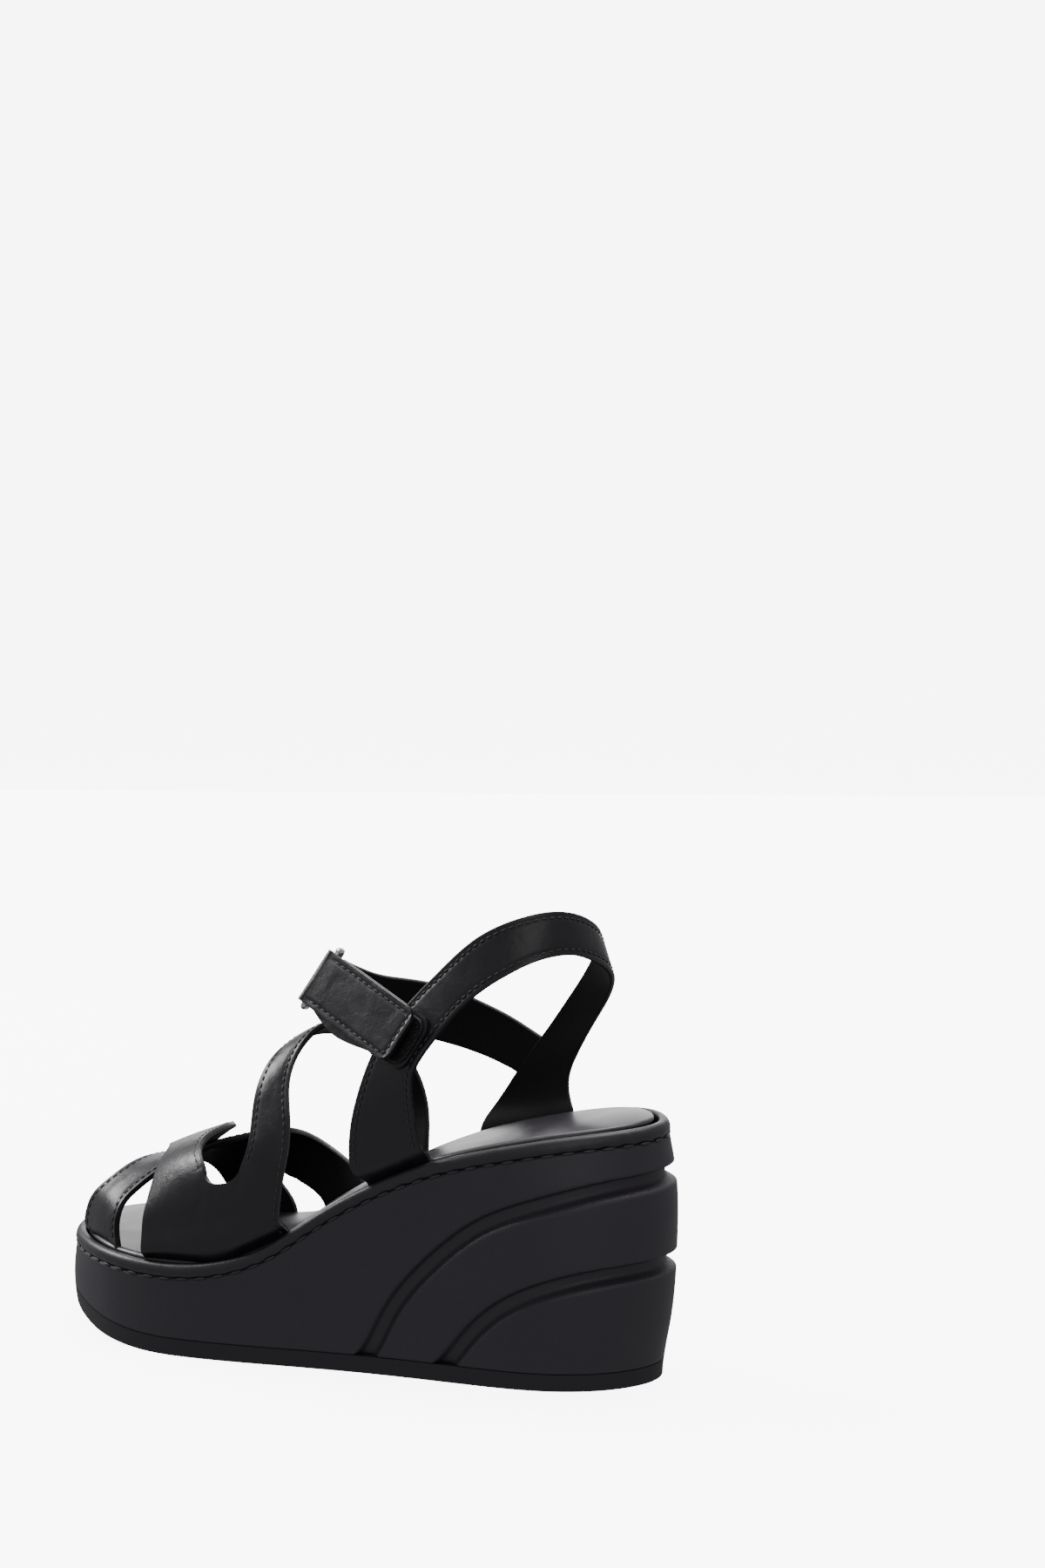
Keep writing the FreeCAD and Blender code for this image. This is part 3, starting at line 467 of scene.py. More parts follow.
@dataclass(frozen=True)
class Thread:
    """Sewing thread: sizes of one visible stitch, in millimetres."""

    length: float = 2.3
    pitch: float = 3.1
    radius: float = 0.34
    sides: int = 6
    rings: int = 5
    reach: float = 0.4
    blunt: float = 0.02

    def stitches(self, path: Array, normals: Array) -> tuple[Array, Array]:
        """Stitches spaced along a path.

        Each is a slim egg: circles whose radius follows the square root of half a sine wave from end
        to end.  It points from the path's place a reach before its middle to the one a reach after.

        Args:
            path: (n, 3) line on the surface.
            normals: (n, 3) surface normals there.

        Returns:
            Vertices and quads.
        """
        length = np.linalg.norm(np.diff(path, axis=0), axis=1).sum()
        count = max(int(length // self.pitch), 1)
        middles = (np.arange(count) + 0.5) * length / count
        centre = along_path(path, middles)
        before = along_path(path, middles - self.reach)
        after = along_path(path, middles + self.reach)
        passed = travelled(path)
        up = unit(np.stack([np.interp(middles, passed, normals[:, axis]) for axis in range(3)], axis=1))
        along = unit(after - before)
        side = unit(np.cross(up, along))
        up = np.cross(along, side)
        share = np.linspace(self.blunt, 1 - self.blunt, self.rings)
        angle = np.arange(self.sides) * 2 * np.pi / self.sides
        radius = self.radius * np.sin(np.pi * share) ** 0.5
        local = np.stack([np.broadcast_to(((share - 0.5) * self.length)[:, None], (self.rings, self.sides)),
                          radius[:, None] * np.cos(angle), radius[:, None] * np.sin(angle)], axis=-1)
        local = local.reshape(-1, 3)
        places = (centre[:, None] + local[None, :, :1] * along[:, None] + local[None, :, 1:2] * side[:, None]
                  + local[None, :, 2:] * up[:, None])
        one = grid_faces(self.rings, self.sides, wrap=True)
        return places.reshape(-1, 3), copies(one, count, len(local))


def join(parts: list[tuple[Array, Array]]) -> tuple[Array, Array]:
    """Vertices and quads of several meshes put together."""
    starts = np.cumsum([0] + [len(vertices) for vertices, _ in parts[:-1]])
    return (np.concatenate([vertices for vertices, _ in parts]),
            np.concatenate([faces + start for (_, faces), start in zip(parts, starts)]))


# ---------------------------------------------------------------- sole


@dataclass
class SoleShape:
    """Outline, rim and skin of the sole, in millimetres."""

    outline_points: tuple[tuple[float, float], ...] = (
        (-123.5, 3), (-118.5, -14), (-109.5, -26), (-95, -38), (-70, -46.2), (-42, -46.3), (-10, -42),
        (25, -37.8), (60, -36), (90, -32.5), (112, -21.5), (124, 0), (112.5, 22), (88, 28.8), (55, 29),
        (20, 29.8), (-15, 35), (-45, 42), (-72, 45.2), (-97, 41), (-114, 29), (-121.5, 16))
    rim_points: tuple[tuple[float, float], ...] = (
        (-135, 0.01), (-90, 0.0), (-62, -0.013), (-40, 0.028), (-20, 0.146), (0, 0.366), (20, 0.564),
        (45, 0.748), (75, 0.889), (105, 0.98), (140, 1.0))
    swell_points: tuple[tuple[float, float, float], ...] = (
        (-0.02, 0.0, 0.0), (0.08, 0.15, 0.6), (0.20, 0.52, 1.0), (0.33, 0.81, 0.4), (0.44, 0.93, 0.0),
        (0.56, 1.0, 0.0), (0.80, 0.85, 0.0), (0.93, 0.45, 0.0), (1.06, 0.1, 0.0))
    platform: float = 36.0
    heel: float = 97.5
    swell: float = 5.4
    toe_swell: float = 2.3
    toe_spring: float = 9.7
    spring_start: float = -60.0
    half_length: float = 124.0
    heel_swell_from: float = 30.0
    heel_swell_over: float = 85.0
    toe_swell_from: float = -95.0
    toe_swell_over: float = 28.0
    steps: int = 720

    def __post_init__(self) -> None:
        """Samples the outline and the rim once."""
        self.outline = spline(np.array(self.outline_points), self.steps, closed=True)
        slope = np.roll(self.outline, -1, axis=0) - np.roll(self.outline, 1, axis=0)
        self.outwards = unit(np.stack([slope[:, 1], -slope[:, 0]], axis=1))
        profile = np.array(self.rim_points)
        profile[:, 1] = self.platform + profile[:, 1] * (self.heel - self.platform)
        self.rim_curve = spline(profile, 1200)

    def rim(self, x: Array) -> Array:
        """Height of the rim at x."""
        return np.interp(x, self.rim_curve[:, 0], self.rim_curve[:, 1])

    def ground(self, x: Array) -> Array:
        """Height of the underside at x: flat, then an arc that rises to the toe."""
        reach = self.half_length + self.spring_start
        radius = (reach ** 2 + self.toe_spring ** 2) / (2 * self.toe_spring)
        back = np.clip(self.spring_start - x, 0.0, None)
        return radius - np.sqrt(radius ** 2 - back ** 2)

    def skin(self, heights: Array, inset: Array | float = 0.0) -> Array:
        """Points on the wedge's skin.

        The outline moves out by two swells, which grow towards the heel and the toe tip and follow
        their own profiles with height, and in by inset along the outline's own normal.

        Args:
            heights: (rows, steps) heights.
            inset: Distance in from the skin, one number or an array like heights.

        Returns:
            (rows, steps, 3) points.
        """
        at_heel = smooth_step((self.outline[:, 0] - self.heel_swell_from) / self.heel_swell_over)
        at_toe = smooth_step((self.toe_swell_from - self.outline[:, 0]) / self.toe_swell_over)
        profile = np.array(self.swell_points) * [self.heel, self.swell, self.toe_swell]
        fine = spline(profile, 400)
        out = (np.interp(heights, fine[:, 0], fine[:, 1]) * at_heel
               + np.interp(heights, fine[:, 0], fine[:, 2]) * at_toe - inset)
        flat = self.outline[None] + self.outwards[None] * out[..., None]
        return np.concatenate([flat, heights[..., None]], axis=-1)

    def cap(self) -> tuple[Array, Array]:
        """Faces straight across one ring of outline points, with their upper side up.

        Returns:
            Quads, and one triangle for each end of the sole.
        """
        first = int(np.argmin(self.outline[:, 0]))
        half = self.steps // 2
        left = (first + np.arange(half)) % self.steps
        right = (first - np.arange(half)) % self.steps
        quads = np.stack([left[1:-1], left[2:], right[2:], right[1:-1]], axis=1)
        ends = np.array([[left[0], left[1], right[1]], [left[-1], (first + half) % self.steps, right[-1]]])
        return quads, ends


@dataclass
class ReliefChannel:
    """Sunk line that sweeps up the side of the wedge and round the heel, in millimetres."""

    upper_edge: tuple[tuple[float, float], ...]
    width: float = 8.2
    depth: float = 3.0
    heel_depth: float = 4.2
    steep_over: float = 1.6
    gentle_over: float = 3.4
    deepens_from: float = 80.0
    deepens_over: float = 40.0
    clear_of_line: float = 12.0
    clear_above: float = 100.0
    batch: int = 8000

    def depth_at(self, x: Array, z: Array) -> Array:
        """Depth of the channel at side-view places.

        The wall falls steeply just under the upper edge and climbs back slowly to the lower edge:
        the depth is one S-shaped step of the distance below the upper edge times another of the
        distance left to the lower edge.  It deepens round the heel.

        Args:
            x: Places along the sole.
            z: Heights.

        Returns:
            Depth at each place, zero outside the channel.
        """
        line = spline(np.array(self.upper_edge), 500)
        tangent = unit(np.gradient(line, axis=0))
        normal = np.stack([tangent[:, 1], -tangent[:, 0]], axis=1)
        near = (x > line[:, 0].min() - self.clear_of_line) & (z < self.clear_above)
        result = np.zeros_like(x)
        places = np.stack([x[near], z[near]], axis=1)
        distance = np.empty(len(places))
        for start in range(0, len(places), self.batch):
            part = places[start:start + self.batch]
            gaps = part[:, None] - line[None]
            nearest = np.argmin((gaps ** 2).sum(-1), axis=1)
            chosen = gaps[np.arange(len(part)), nearest]
            distance[start:start + self.batch] = np.sum(chosen * normal[nearest], axis=1)
        steep = smooth_step(distance / self.steep_over)
        gentle = smooth_step((self.width - distance) / self.gentle_over)
        heelwards = smooth_step((places[:, 0] - self.deepens_from) / self.deepens_over)
        deep = self.depth + (self.heel_depth - self.depth) * heelwards
        result[near] = np.where((distance > 0) & (distance < self.width), steep * gentle * deep, 0.0)
        return result


@dataclass
class Sole:
    """Outsole, wedge, rand, rim stitching and the padded footbed."""

    shape: SoleShape
    outsole_thickness: float = 6.5
    rand_height: float = 5.2
    rand_thickness: float = 3.4
    rand_section: tuple[tuple[float, float], ...] = (
        (1.0, -5.2), (0.35, -4.9), (-0.35, -4.1), (-0.65, -2.9), (-0.5, -1.5), (0.0, -0.4), (0.8, 0.25),
        (1.7, 0.45), (2.6, 0.25), (3.2, -0.3), (3.4, -1.2), (3.4, -2.9), (2.2, -5.1))
    rand_rows: int = 28
    pucker_depth: float = 0.35
    pucker_level: float = -4.6
    pucker_spread: float = 1.3
    rim_thread: Thread = Thread(length=5.0, pitch=7.6, radius=0.5, sides=8, rings=9)
    thread_lift: float = 0.05
    thread_sink: float = 0.1
    top_roll: tuple[float, float] = (0.5, 1.0)
    foot_roll: tuple[float, float] = (0.35, 0.8)
    wedge_rows: int = 118
    footbed_gap: float = 0.3
    footbed_edge: tuple[tuple[float, float], ...] = ((0.12, -0.4), (0.0, 0.1), (0.08, 0.5), (0.5, 1.1),
                                                     (1.3, 1.5))
    footbed_spine: tuple[tuple[float, float], ...] = ((-120, 3), (-60, -1), (20, -4), (120, 0))
    footbed_end: float = 16.0
    crown: float = 1.5
    crown_power: float = 2.5
    crown_rings: int = 25
    channels: tuple[ReliefChannel, ...] = (
        ReliefChannel(((8, 0.0), (17, 8.3), (26, 24.4), (45, 47.8), (67, 64.8), (91, 74.6), (117, 80.9),
                       (145, 81.9))),
        ReliefChannel(((40, 0.0), (49, 8.3), (60, 21.5), (73, 33.2), (91, 42.4), (109, 47.3), (125, 48.8),
                       (145, 48.8))))

    def closed_tube(self, rings: Array) -> tuple[Array, list[Array]]:
        """Closes a stack of outline rings with quads straight across the sole.

        Args:
            rings: (rows, steps, 3), bottom to top on the outside.

        Returns:
            Vertices and face arrays.
        """
        rows, steps = rings.shape[:2]
        sides = grid_faces(rows, steps, wrap=True)[:, ::-1]
        quads, ends = self.shape.cap()
        top = (rows - 1) * steps
        return rings.reshape(-1, 3), [sides, quads[:, ::-1], quads + top,
                                      np.concatenate([ends[:, ::-1], ends + top])]

    def wedge(self) -> bpy.types.Object:
        """Moulded wedge: the skin from outsole to rand, sunk by the depth of the relief channels.

        Its top and foot edges roll in a little, by an S-shaped step of the distance from each edge.

        Returns:
            The wedge.
        """
        x = self.shape.outline[:, 0]
        low = self.shape.ground(x) + self.outsole_thickness
        high = self.shape.rim(x) - self.rand_height
        share = np.linspace(0, 1, self.wedge_rows)[:, None]
        heights = low + (high - low) * share
        places = self.shape.skin(heights)
        sunk = np.zeros_like(heights)
        for channel in self.channels:
            sunk = np.maximum(sunk, channel.depth_at(places[..., 0].ravel(),
                                                     heights.ravel()).reshape(heights.shape))
        edge_roll = (self.top_roll[0] * (1 - smooth_step((high - heights) / self.top_roll[1]))
                     + self.foot_roll[0] * (1 - smooth_step((heights - low) / self.foot_roll[1])))
        rings = self.shape.skin(heights, sunk + edge_roll)
        vertices, faces = self.closed_tube(rings)
        return make_piece("wedge", vertices, faces, WEDGE_FOAM, Body.SANDAL, ("wedge_midsole",))

    def rand(self) -> bpy.types.Object:
        """Leather band round the rim.

        Its section, given as distance in from the skin and height above the rim, starts in the seam
        groove, swells outwards, rolls over the top and drops into the strap slot; every stitch pulls
        the lower edge in a little, as a cosine along the rim.

        Returns:
            The rand.
        """
        section = spline(np.array(self.rand_section), self.rand_rows)
        x = self.shape.outline[:, 0]
        rim = self.shape.rim(x)
        stride = np.linalg.norm(np.roll(self.shape.outline, -1, axis=0) - self.shape.outline, axis=1)
        passed = np.concatenate([[0.0], np.cumsum(stride)[:-1]])
        count = int(stride.sum() // self.rim_thread.pitch)
        pucker = 0.5 + 0.5 * np.cos(2 * np.pi * count * passed / stride.sum())
        weight = np.exp(-((section[:, 1:] - self.pucker_level) / self.pucker_spread) ** 2)
        heights = rim[None] + section[:, 1:]
        rings = self.shape.skin(heights, section[:, :1] + self.pucker_depth * pucker[None] * weight)
        vertices = rings.reshape(-1, 3)
        faces = grid_faces(len(section), self.shape.steps, wrap=True)[:, ::-1]
        last = (len(section) - 1) * self.shape.steps
        around = np.arange(self.shape.steps)
        after = (around + 1) % self.shape.steps
        closing = np.stack([around, after, after + last, around + last], axis=1)
        return make_piece("rand", vertices, [faces, closing[:, ::-1]], RIM_LEATHER, Body.SANDAL,
                          ("leather_rand",))

    def rim_stitches(self) -> bpy.types.Object:
        """Long stitches in the groove under the rand."""
        x = self.shape.outline[:, 0]
        heights = (self.shape.rim(x) - self.rand_height + self.thread_lift)[None]
        path = self.shape.skin(heights, self.thread_sink)[0]
        path = np.concatenate([path, path[:1]])
        normals = np.concatenate([self.shape.outwards, np.zeros((self.shape.steps, 1))], axis=1)
        normals = np.concatenate([normals, normals[:1]])
        vertices, faces = self.rim_thread.stitches(path, normals)
        return make_piece("rim_thread", vertices, [faces], WAXED_THREAD, Body.SANDAL,
                          ("rim_stitching",))

    def footbed(self) -> bpy.types.Object:
        """Padded footbed: a crowned pad whose edge rolls down to the foam.

        Rings shrink from the rand towards the sole's middle line.  The edge's own rings follow
        footbed_edge, distance in and height above the rim.  Inside them the height grows by the crown
        times one minus the share of the way left to the middle line, raised to the crown's power.

        Returns:
            The footbed.
        """
        shape = self.shape
        inset = self.rand_thickness + self.footbed_gap
        edge = shape.outline - shape.outwards * inset
        low, high = edge[:, 0].min() + self.footbed_end, edge[:, 0].max() - self.footbed_end
        spine = np.stack([np.clip(edge[:, 0], low, high),
                          np.interp(edge[:, 0], *np.array(self.footbed_spine, float).T)], axis=1)
        flats = [shape.outline - shape.outwards * (inset + step_in) for step_in, _ in self.footbed_edge]
        lifts = [lift for _, lift in self.footbed_edge]
        start, edge_lift = flats[-1], lifts[-1]
        for share in np.linspace(0, 1, self.crown_rings + 1)[1:]:
            flats.append(start + (spine - start) * share)
            lifts.append(edge_lift + self.crown * (1 - (1 - share) ** self.crown_power))
        rings = np.array([np.concatenate([flat, (shape.rim(flat[:, 0]) + lift)[:, None]], axis=1)
                          for flat, lift in zip(flats, lifts)])
        vertices = rings.reshape(-1, 3)
        faces = grid_faces(len(rings), shape.steps, wrap=True)[:, ::-1]
        quads, ends = shape.cap()
        bottom, ends = quads[:, ::-1], ends[:, ::-1]
        piece = make_piece("footbed", vertices, [faces, bottom, ends], FOOTBED_LEATHER,
                           Body.SANDAL, ("footbed_cover",))
        weld = piece.modifiers.new("closed_middle", "WELD")
        weld.merge_threshold = 0.02 * MM
        return piece

    def build(self) -> None:
        """Builds and dresses the whole sole."""
        self.wedge()
        self.rand()
        self.rim_stitches()
        self.footbed()


# ---------------------------------------------------------------- closure


@dataclass(frozen=True)
class HookTape:
    """Hook patch under the flap: a plate with rows of mushroom pegs, in millimetres."""

    start: float = 14.0
    margin: float = 1.5
    plate: float = 0.5
    pitch: float = 1.15
    border: float = 0.8
    sides: int = 6
    peg: tuple[tuple[float, float], ...] = ((0.16, 0.0), (0.14, 0.42), (0.34, 0.48), (0.3, 0.6),
                                            (0.02, 0.66))


@dataclass(frozen=True)
class LoopPile:
    """Loop patch on the lower run: a plate covered with half rings of filament, in millimetres."""

    start: float = 12.0
    tip_margin: float = 1.0
    side_margin: float = 1.5
    plate: float = 0.75
    unevenness: float = 0.12
    count: int = 2600
    border: float = 0.2
    height: tuple[float, float] = (0.3, 0.52)
    reach: tuple[float, float] = (0.25, 0.5)
    filament: float = 0.055
    sunk: float = 0.05
    points: int = 6
    sides: int = 3
    seed: int = 7


@dataclass
class ClosingStrap:
    """Closing strap that folds round the ring, with its patches and the ring's tab, in millimetres.

    Its own frame has X towards the tip, Y along the ring bars and Z off the foot.
    """

    shape: SoleShape
    width: float = 22.0
    leather: float = 1.8
    wire: float = 1.2
    play: float = 0.25
    flap_length: float = 49.5
    base_length: float = 54.4
    belly: float = 3.5
    tip_radius: float = 5.0
    spacing: float = 9.0
    tilt_deg: float = 60.0
    tab_leather: float = 1.2
    tab_length: float = 12.0
    tab_width: float = 18.0
    fold_station: Station = (-4.0, -24.8, 91.3)
    tip_station: Station = (41.0, -42.4, 48.5)
    lean: tuple[float, float, float] = (0.464, 0.304, 0.834)
    seam_inset: float = 2.2
    thread_lift: float = 0.02
    flap_columns: int = 57
    flap_crown: float = 0.25
    flap_seam: tuple[float, float] = (0.3, 0.7)
    belly_shape: tuple[tuple[float, float], ...] = ((11.5, 0.75), (20.0, 1.0), (30.0, 0.55), (39.0, 0.02),
                                                    (60.0, 0.0))
    bend_from: float = 16.0
    bend_to: float = 4.0
    bend_level: float = -2.3
    hook_tape: HookTape = HookTape()
    loop_pile: LoopPile = LoopPile()

    def __post_init__(self) -> None:
        """Works out the strap's and the tab's own frames."""
        self.origin = self.at(self.fold_station)
        self.along = unit(self.at(self.tip_station) - self.origin)
        lean = np.array(self.lean)
        self.across = unit(lean - self.along * (lean @ self.along))
        self.off = np.cross(self.along, self.across)
        tilt = math.radians(self.tilt_deg)
        self.way = -self.along * math.cos(tilt) - self.off * math.sin(tilt)
        self.tab_origin = self.origin + self.way * self.spacing
        self.tab_off = -np.cross(self.way, self.across)
        self.inside = self.wire + self.play

    def at(self, station: Station) -> Array:
        """Point at x and y, some height above the rim."""
        x, y, lift = station
        return np.array([x, y, float(self.shape.rim(x)) + lift])

    def under(self, point: Array) -> Array:
        """Point moved along the strap's normal until it just clears the strap."""
        seat = -(self.inside + self.leather + 0.5)
        return point + self.off * (seat - (point - self.origin) @ self.off)

    def tab_line(self, side: float) -> Array:
        """Edge points of the instep strap between the tab's legs, on one side of it."""
        reach = self.inside + 1.0 + self.tab_length * np.array([0.0, 0.25, 0.5, 0.75, 0.97])
        half = side * self.tab_width / 2
        rise = self.inside - 0.25
        return self.tab_origin + reach[:, None] * self.way + half * self.across + self.tab_off * rise

    def place(self, local: Array) -> Array:
        """Turns points from the strap's frame into the sandal's."""
        return (self.origin + local[..., :1] * self.along + local[..., 1:2] * self.across
                + local[..., 2:] * self.off)

    def half_width(self, from_tip: Array, half: float, radius: float) -> Array:
        """Half width near a tip with rounded corners: full width less what the corner circle cuts."""
        inside = np.clip(radius - from_tip, 0.0, radius)
        return half - radius + np.sqrt(np.maximum(radius ** 2 - inside ** 2, 0.0))

    def run_grid(self, start: float, end: float, level: float, half: float, crown: float,
                 rows: int = 60, columns: int = 27, belly: float = 0.0) -> Array:
        """Flat run with a round tip: rows crowd towards the tip, and each is as wide as the tip allows.

        The lower edge may belly out; the belly is widest a third of the way along.

        Args:
            start: First row's place.
            end: Tip's place.
            level: Height.
            half: Half width.
            crown: How much higher the middle stands than the edges.
            rows: Rows of points.
            columns: Points in a row.
            belly: How far the lower edge stands out.

        Returns:
            (rows, columns, 3) points in the strap's frame.
        """
        share = np.sin(np.linspace(0, np.pi / 2, rows))
        x = start + (end - start) * share
        wide = self.half_width(end - x, half, self.tip_radius)
        across = np.linspace(-1, 1, columns)
        bulge = spline(np.array([(start, 0.1), *self.belly_shape]), 200)
        lower = wide + belly * np.interp(x, bulge[:, 0], np.clip(bulge[:, 1], 0.0, None))
        y = np.where(across < 0, lower[:, None], wide[:, None]) * across
        z = level + crown * (1 - (y / half) ** 2)
        return np.stack([np.repeat(x[:, None], columns, axis=1), y, z], axis=-1)

    def flap_grids(self) -> tuple[Array, Array]:
        """Faces of the flap: half a turn round the bar, then a straight run to the tip.

        The seam pulls the outer face in along a narrow bell that keeps its distance from the edges.

        Returns:
            Outer and inner grids in the strap's frame.
        """
        columns = self.flap_columns
        across = np.linspace(-1, 1, columns)
        half = self.width / 2
        turn = np.linspace(-np.pi / 2, -3 * np.pi / 2, 26)[:-1]
        outer_radius = self.inside + self.leather
        dent, spread = self.flap_seam
        grids = []
        for radius, crown in ((outer_radius, self.flap_crown), (self.inside, 0.0)):
            bend = np.stack([np.repeat((radius * np.cos(turn))[:, None], columns, axis=1),
                             np.repeat((half * across)[None], len(turn), axis=0),
                             np.repeat((radius * np.sin(turn))[:, None], columns, axis=1)], axis=-1)
            run = self.run_grid(0.0, self.flap_length, radius, half, crown, 110, columns)
            run[:, :, 2] -= crown * (1 - smooth_step(run[:, :, 0] / 8.0))
            if crown:
                from_edge = np.minimum(half - np.abs(run[:, :, 1]), self.flap_length - run[:, :, 0])
                bell = dent * np.exp(-((from_edge - self.seam_inset) / spread) ** 2)
                run[:, :, 2] -= bell * smooth_step(run[:, :, 0] / 4.0)
            grids.append(np.concatenate([bend, run]))
        return grids[0], grids[1]

    def tip_seam(self, start: float, end: float, level: float, half: float) -> tuple[Array, Array]:
        """Seam line that keeps its distance from the edge of a run, all round its tip.

        Args:
            start: Where both legs begin.
            end: Tip's place.
            level: Height of the face.
            half: Half width.

        Returns:
            Line and normals in the sandal's frame.
        """
        inset = self.seam_inset
        radius = self.tip_radius - inset
        turn = np.linspace(-np.pi / 2, 0, 12)
        corner = np.stack([end - self.tip_radius + radius * np.cos(turn),
                           -(half - self.tip_radius) + radius * np.sin(turn)], axis=1)
        first = np.array([[start, -(half - inset)]])
        side = np.vstack([first, corner])
        flat = np.vstack([side, (side * [1, -1])[::-1]])
        local = np.concatenate([flat, np.full((len(flat), 1), level)], axis=1)
        path = evenly_along(self.place(local), 0.5)
        return path, np.repeat(self.off[None], len(path), axis=0)

    def flap(self) -> None:
        """Closing flap with its stitching and the hook patch under it."""
        outer, inner = self.flap_grids()
        vertices, faces = sheet_solid(self.place(outer), self.place(inner))
        piece = make_piece("closing_flap_leather", vertices, [faces], UPPER_LEATHER, Body.FLAP,
                           ("closing_flap",))
        soften_edges(piece, 0.5, 3)
        level = self.inside + self.leather + self.thread_lift
        path, ways = self.tip_seam(4.0, self.flap_length, level, self.width / 2)
        vertices, faces = Thread().stitches(path, ways)
        make_piece("closing_flap_thread", vertices, [faces], WAXED_THREAD, Body.FLAP)
        self.hooks()

    def hooks(self) -> None:
        """Hook patch: a thin plate set with rows of small mushroom pegs, each a turned profile."""
        tape = self.hook_tape
        start, end, half = tape.start, self.flap_length - tape.margin, self.width / 2 - tape.margin
        top = self.inside
        high = self.run_grid(start, end, top, half, 0.0, 40, 21)
        low = self.run_grid(start, end, top - tape.plate, half, 0.0, 40, 21)
        body = sheet_solid(self.place(high), self.place(low))
        x, y = np.meshgrid(np.arange(start + 1, end - 1.5, tape.pitch),
                           np.arange(-half + 1, half - 0.9, tape.pitch), indexing="ij")
        x, y = x.ravel(), y.ravel()
        clear = np.abs(y) < self.half_width(end - x, half, self.tip_radius) - tape.border
        x, y = x[clear], y[clear]
        profile = np.array(tape.peg)
        turn = np.arange(tape.sides) * 2 * np.pi / tape.sides
        ring = np.stack([profile[:, :1] * np.cos(turn), profile[:, :1] * np.sin(turn),
                         np.repeat(top - tape.plate - profile[:, 1:], tape.sides, axis=1)],
                        axis=-1).reshape(-1, 3)
        local = ring[None] + np.stack([x, y, np.zeros_like(x)], axis=1)[:, None]
        many = copies(grid_faces(len(profile), tape.sides, wrap=True), len(x), len(ring))
        vertices, faces = join([body, (self.place(local.reshape(-1, 3)), many)])
        make_piece("hook_tape", vertices, [faces], HOOK_NYLON, Body.FLAP, ("hook_patch",))

    def lower_run(self) -> None:
        """Lower run of the strap, with its loop patch."""
        half = self.width / 2
        top, bottom = -self.inside, -self.inside - self.leather
        start = self.inside + self.leather + 0.15
        high = self.run_grid(start, self.base_length, top, half, 0.0, 80, 33, self.belly)
        low = self.run_grid(start, self.base_length, bottom, half, 0.0, 80, 33, self.belly)
        vertices, faces = sheet_solid(self.place(high), self.place(low))
        piece = make_piece("closing_strap_lower", vertices, [faces], UPPER_LEATHER, None,
                           ("closing_strap_base",))
        soften_edges(piece, 0.5, 3)
        near, far = self.place(np.array([[self.bend_to, 0, self.bend_level],
                                         [self.bend_from, 0, self.bend_level]])) * MM
        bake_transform(piece)
        self.loops()

    def loops(self) -> None:
        """Loop patch: an uneven plate covered with half rings of filament.

        Each filament is a three-sided tube whose middle line is half an ellipse, with its own place,
        heading, height and reach.
        """
        pile = self.loop_pile
        start, end = pile.start, self.base_length - pile.tip_margin
        half = self.width / 2 - pile.side_margin
        top = -self.inside + pile.plate
        high = self.run_grid(start, end, top, half, 0.0, 60, 31)
        low = self.run_grid(start, end, -self.inside, half, 0.0, 60, 31)
        draw = np.random.default_rng(pile.seed)
        high[..., 2] += draw.uniform(-pile.unevenness, pile.unevenness, high.shape[:2])
        body = sheet_solid(self.place(high), self.place(low))
        x = draw.uniform(start + 0.3, end - 0.3, pile.count)
        y = draw.uniform(-half + 0.2, half - 0.2, pile.count)
        clear = np.abs(y) < self.half_width(end - x, half, self.tip_radius) - pile.border
        x, y = x[clear], y[clear]
        count = len(x)
        heading = draw.uniform(0, 2 * np.pi, count)
        tall = draw.uniform(*pile.height, count)
        wide = draw.uniform(*pile.reach, count)
        turn = np.linspace(0, np.pi, pile.points)
        around = np.arange(pile.sides) * 2 * np.pi / pile.sides
        spread = wide[:, None] * np.cos(turn)
        rise = tall[:, None] * np.sin(turn)
        way = np.stack([np.cos(heading), np.sin(heading)], axis=1)
        centre = np.stack([x[:, None] + spread * way[:, :1], y[:, None] + spread * way[:, 1:],
                           top + rise - pile.sunk], axis=-1)
        outward = np.stack([np.cos(turn) * way[:, :1], np.cos(turn) * way[:, 1:],
                            np.broadcast_to(np.sin(turn), spread.shape)], axis=-1)
        sideways = np.stack([-way[:, 1], way[:, 0], np.zeros(count)], axis=1)[:, None]
        local = (centre[:, :, None]
                 + pile.filament * np.cos(around)[None, None, :, None] * outward[:, :, None]
                 + pile.filament * np.sin(around)[None, None, :, None] * sideways[:, :, None])
        many = copies(grid_faces(pile.points, pile.sides, wrap=True), count, pile.points * pile.sides)
        vertices, faces = join([body, (self.place(local.reshape(-1, 3)), many)])
        make_piece("loop_pile_patch", vertices, [faces], LOOP_PILE, Body.SANDAL, ("loop_patch",))

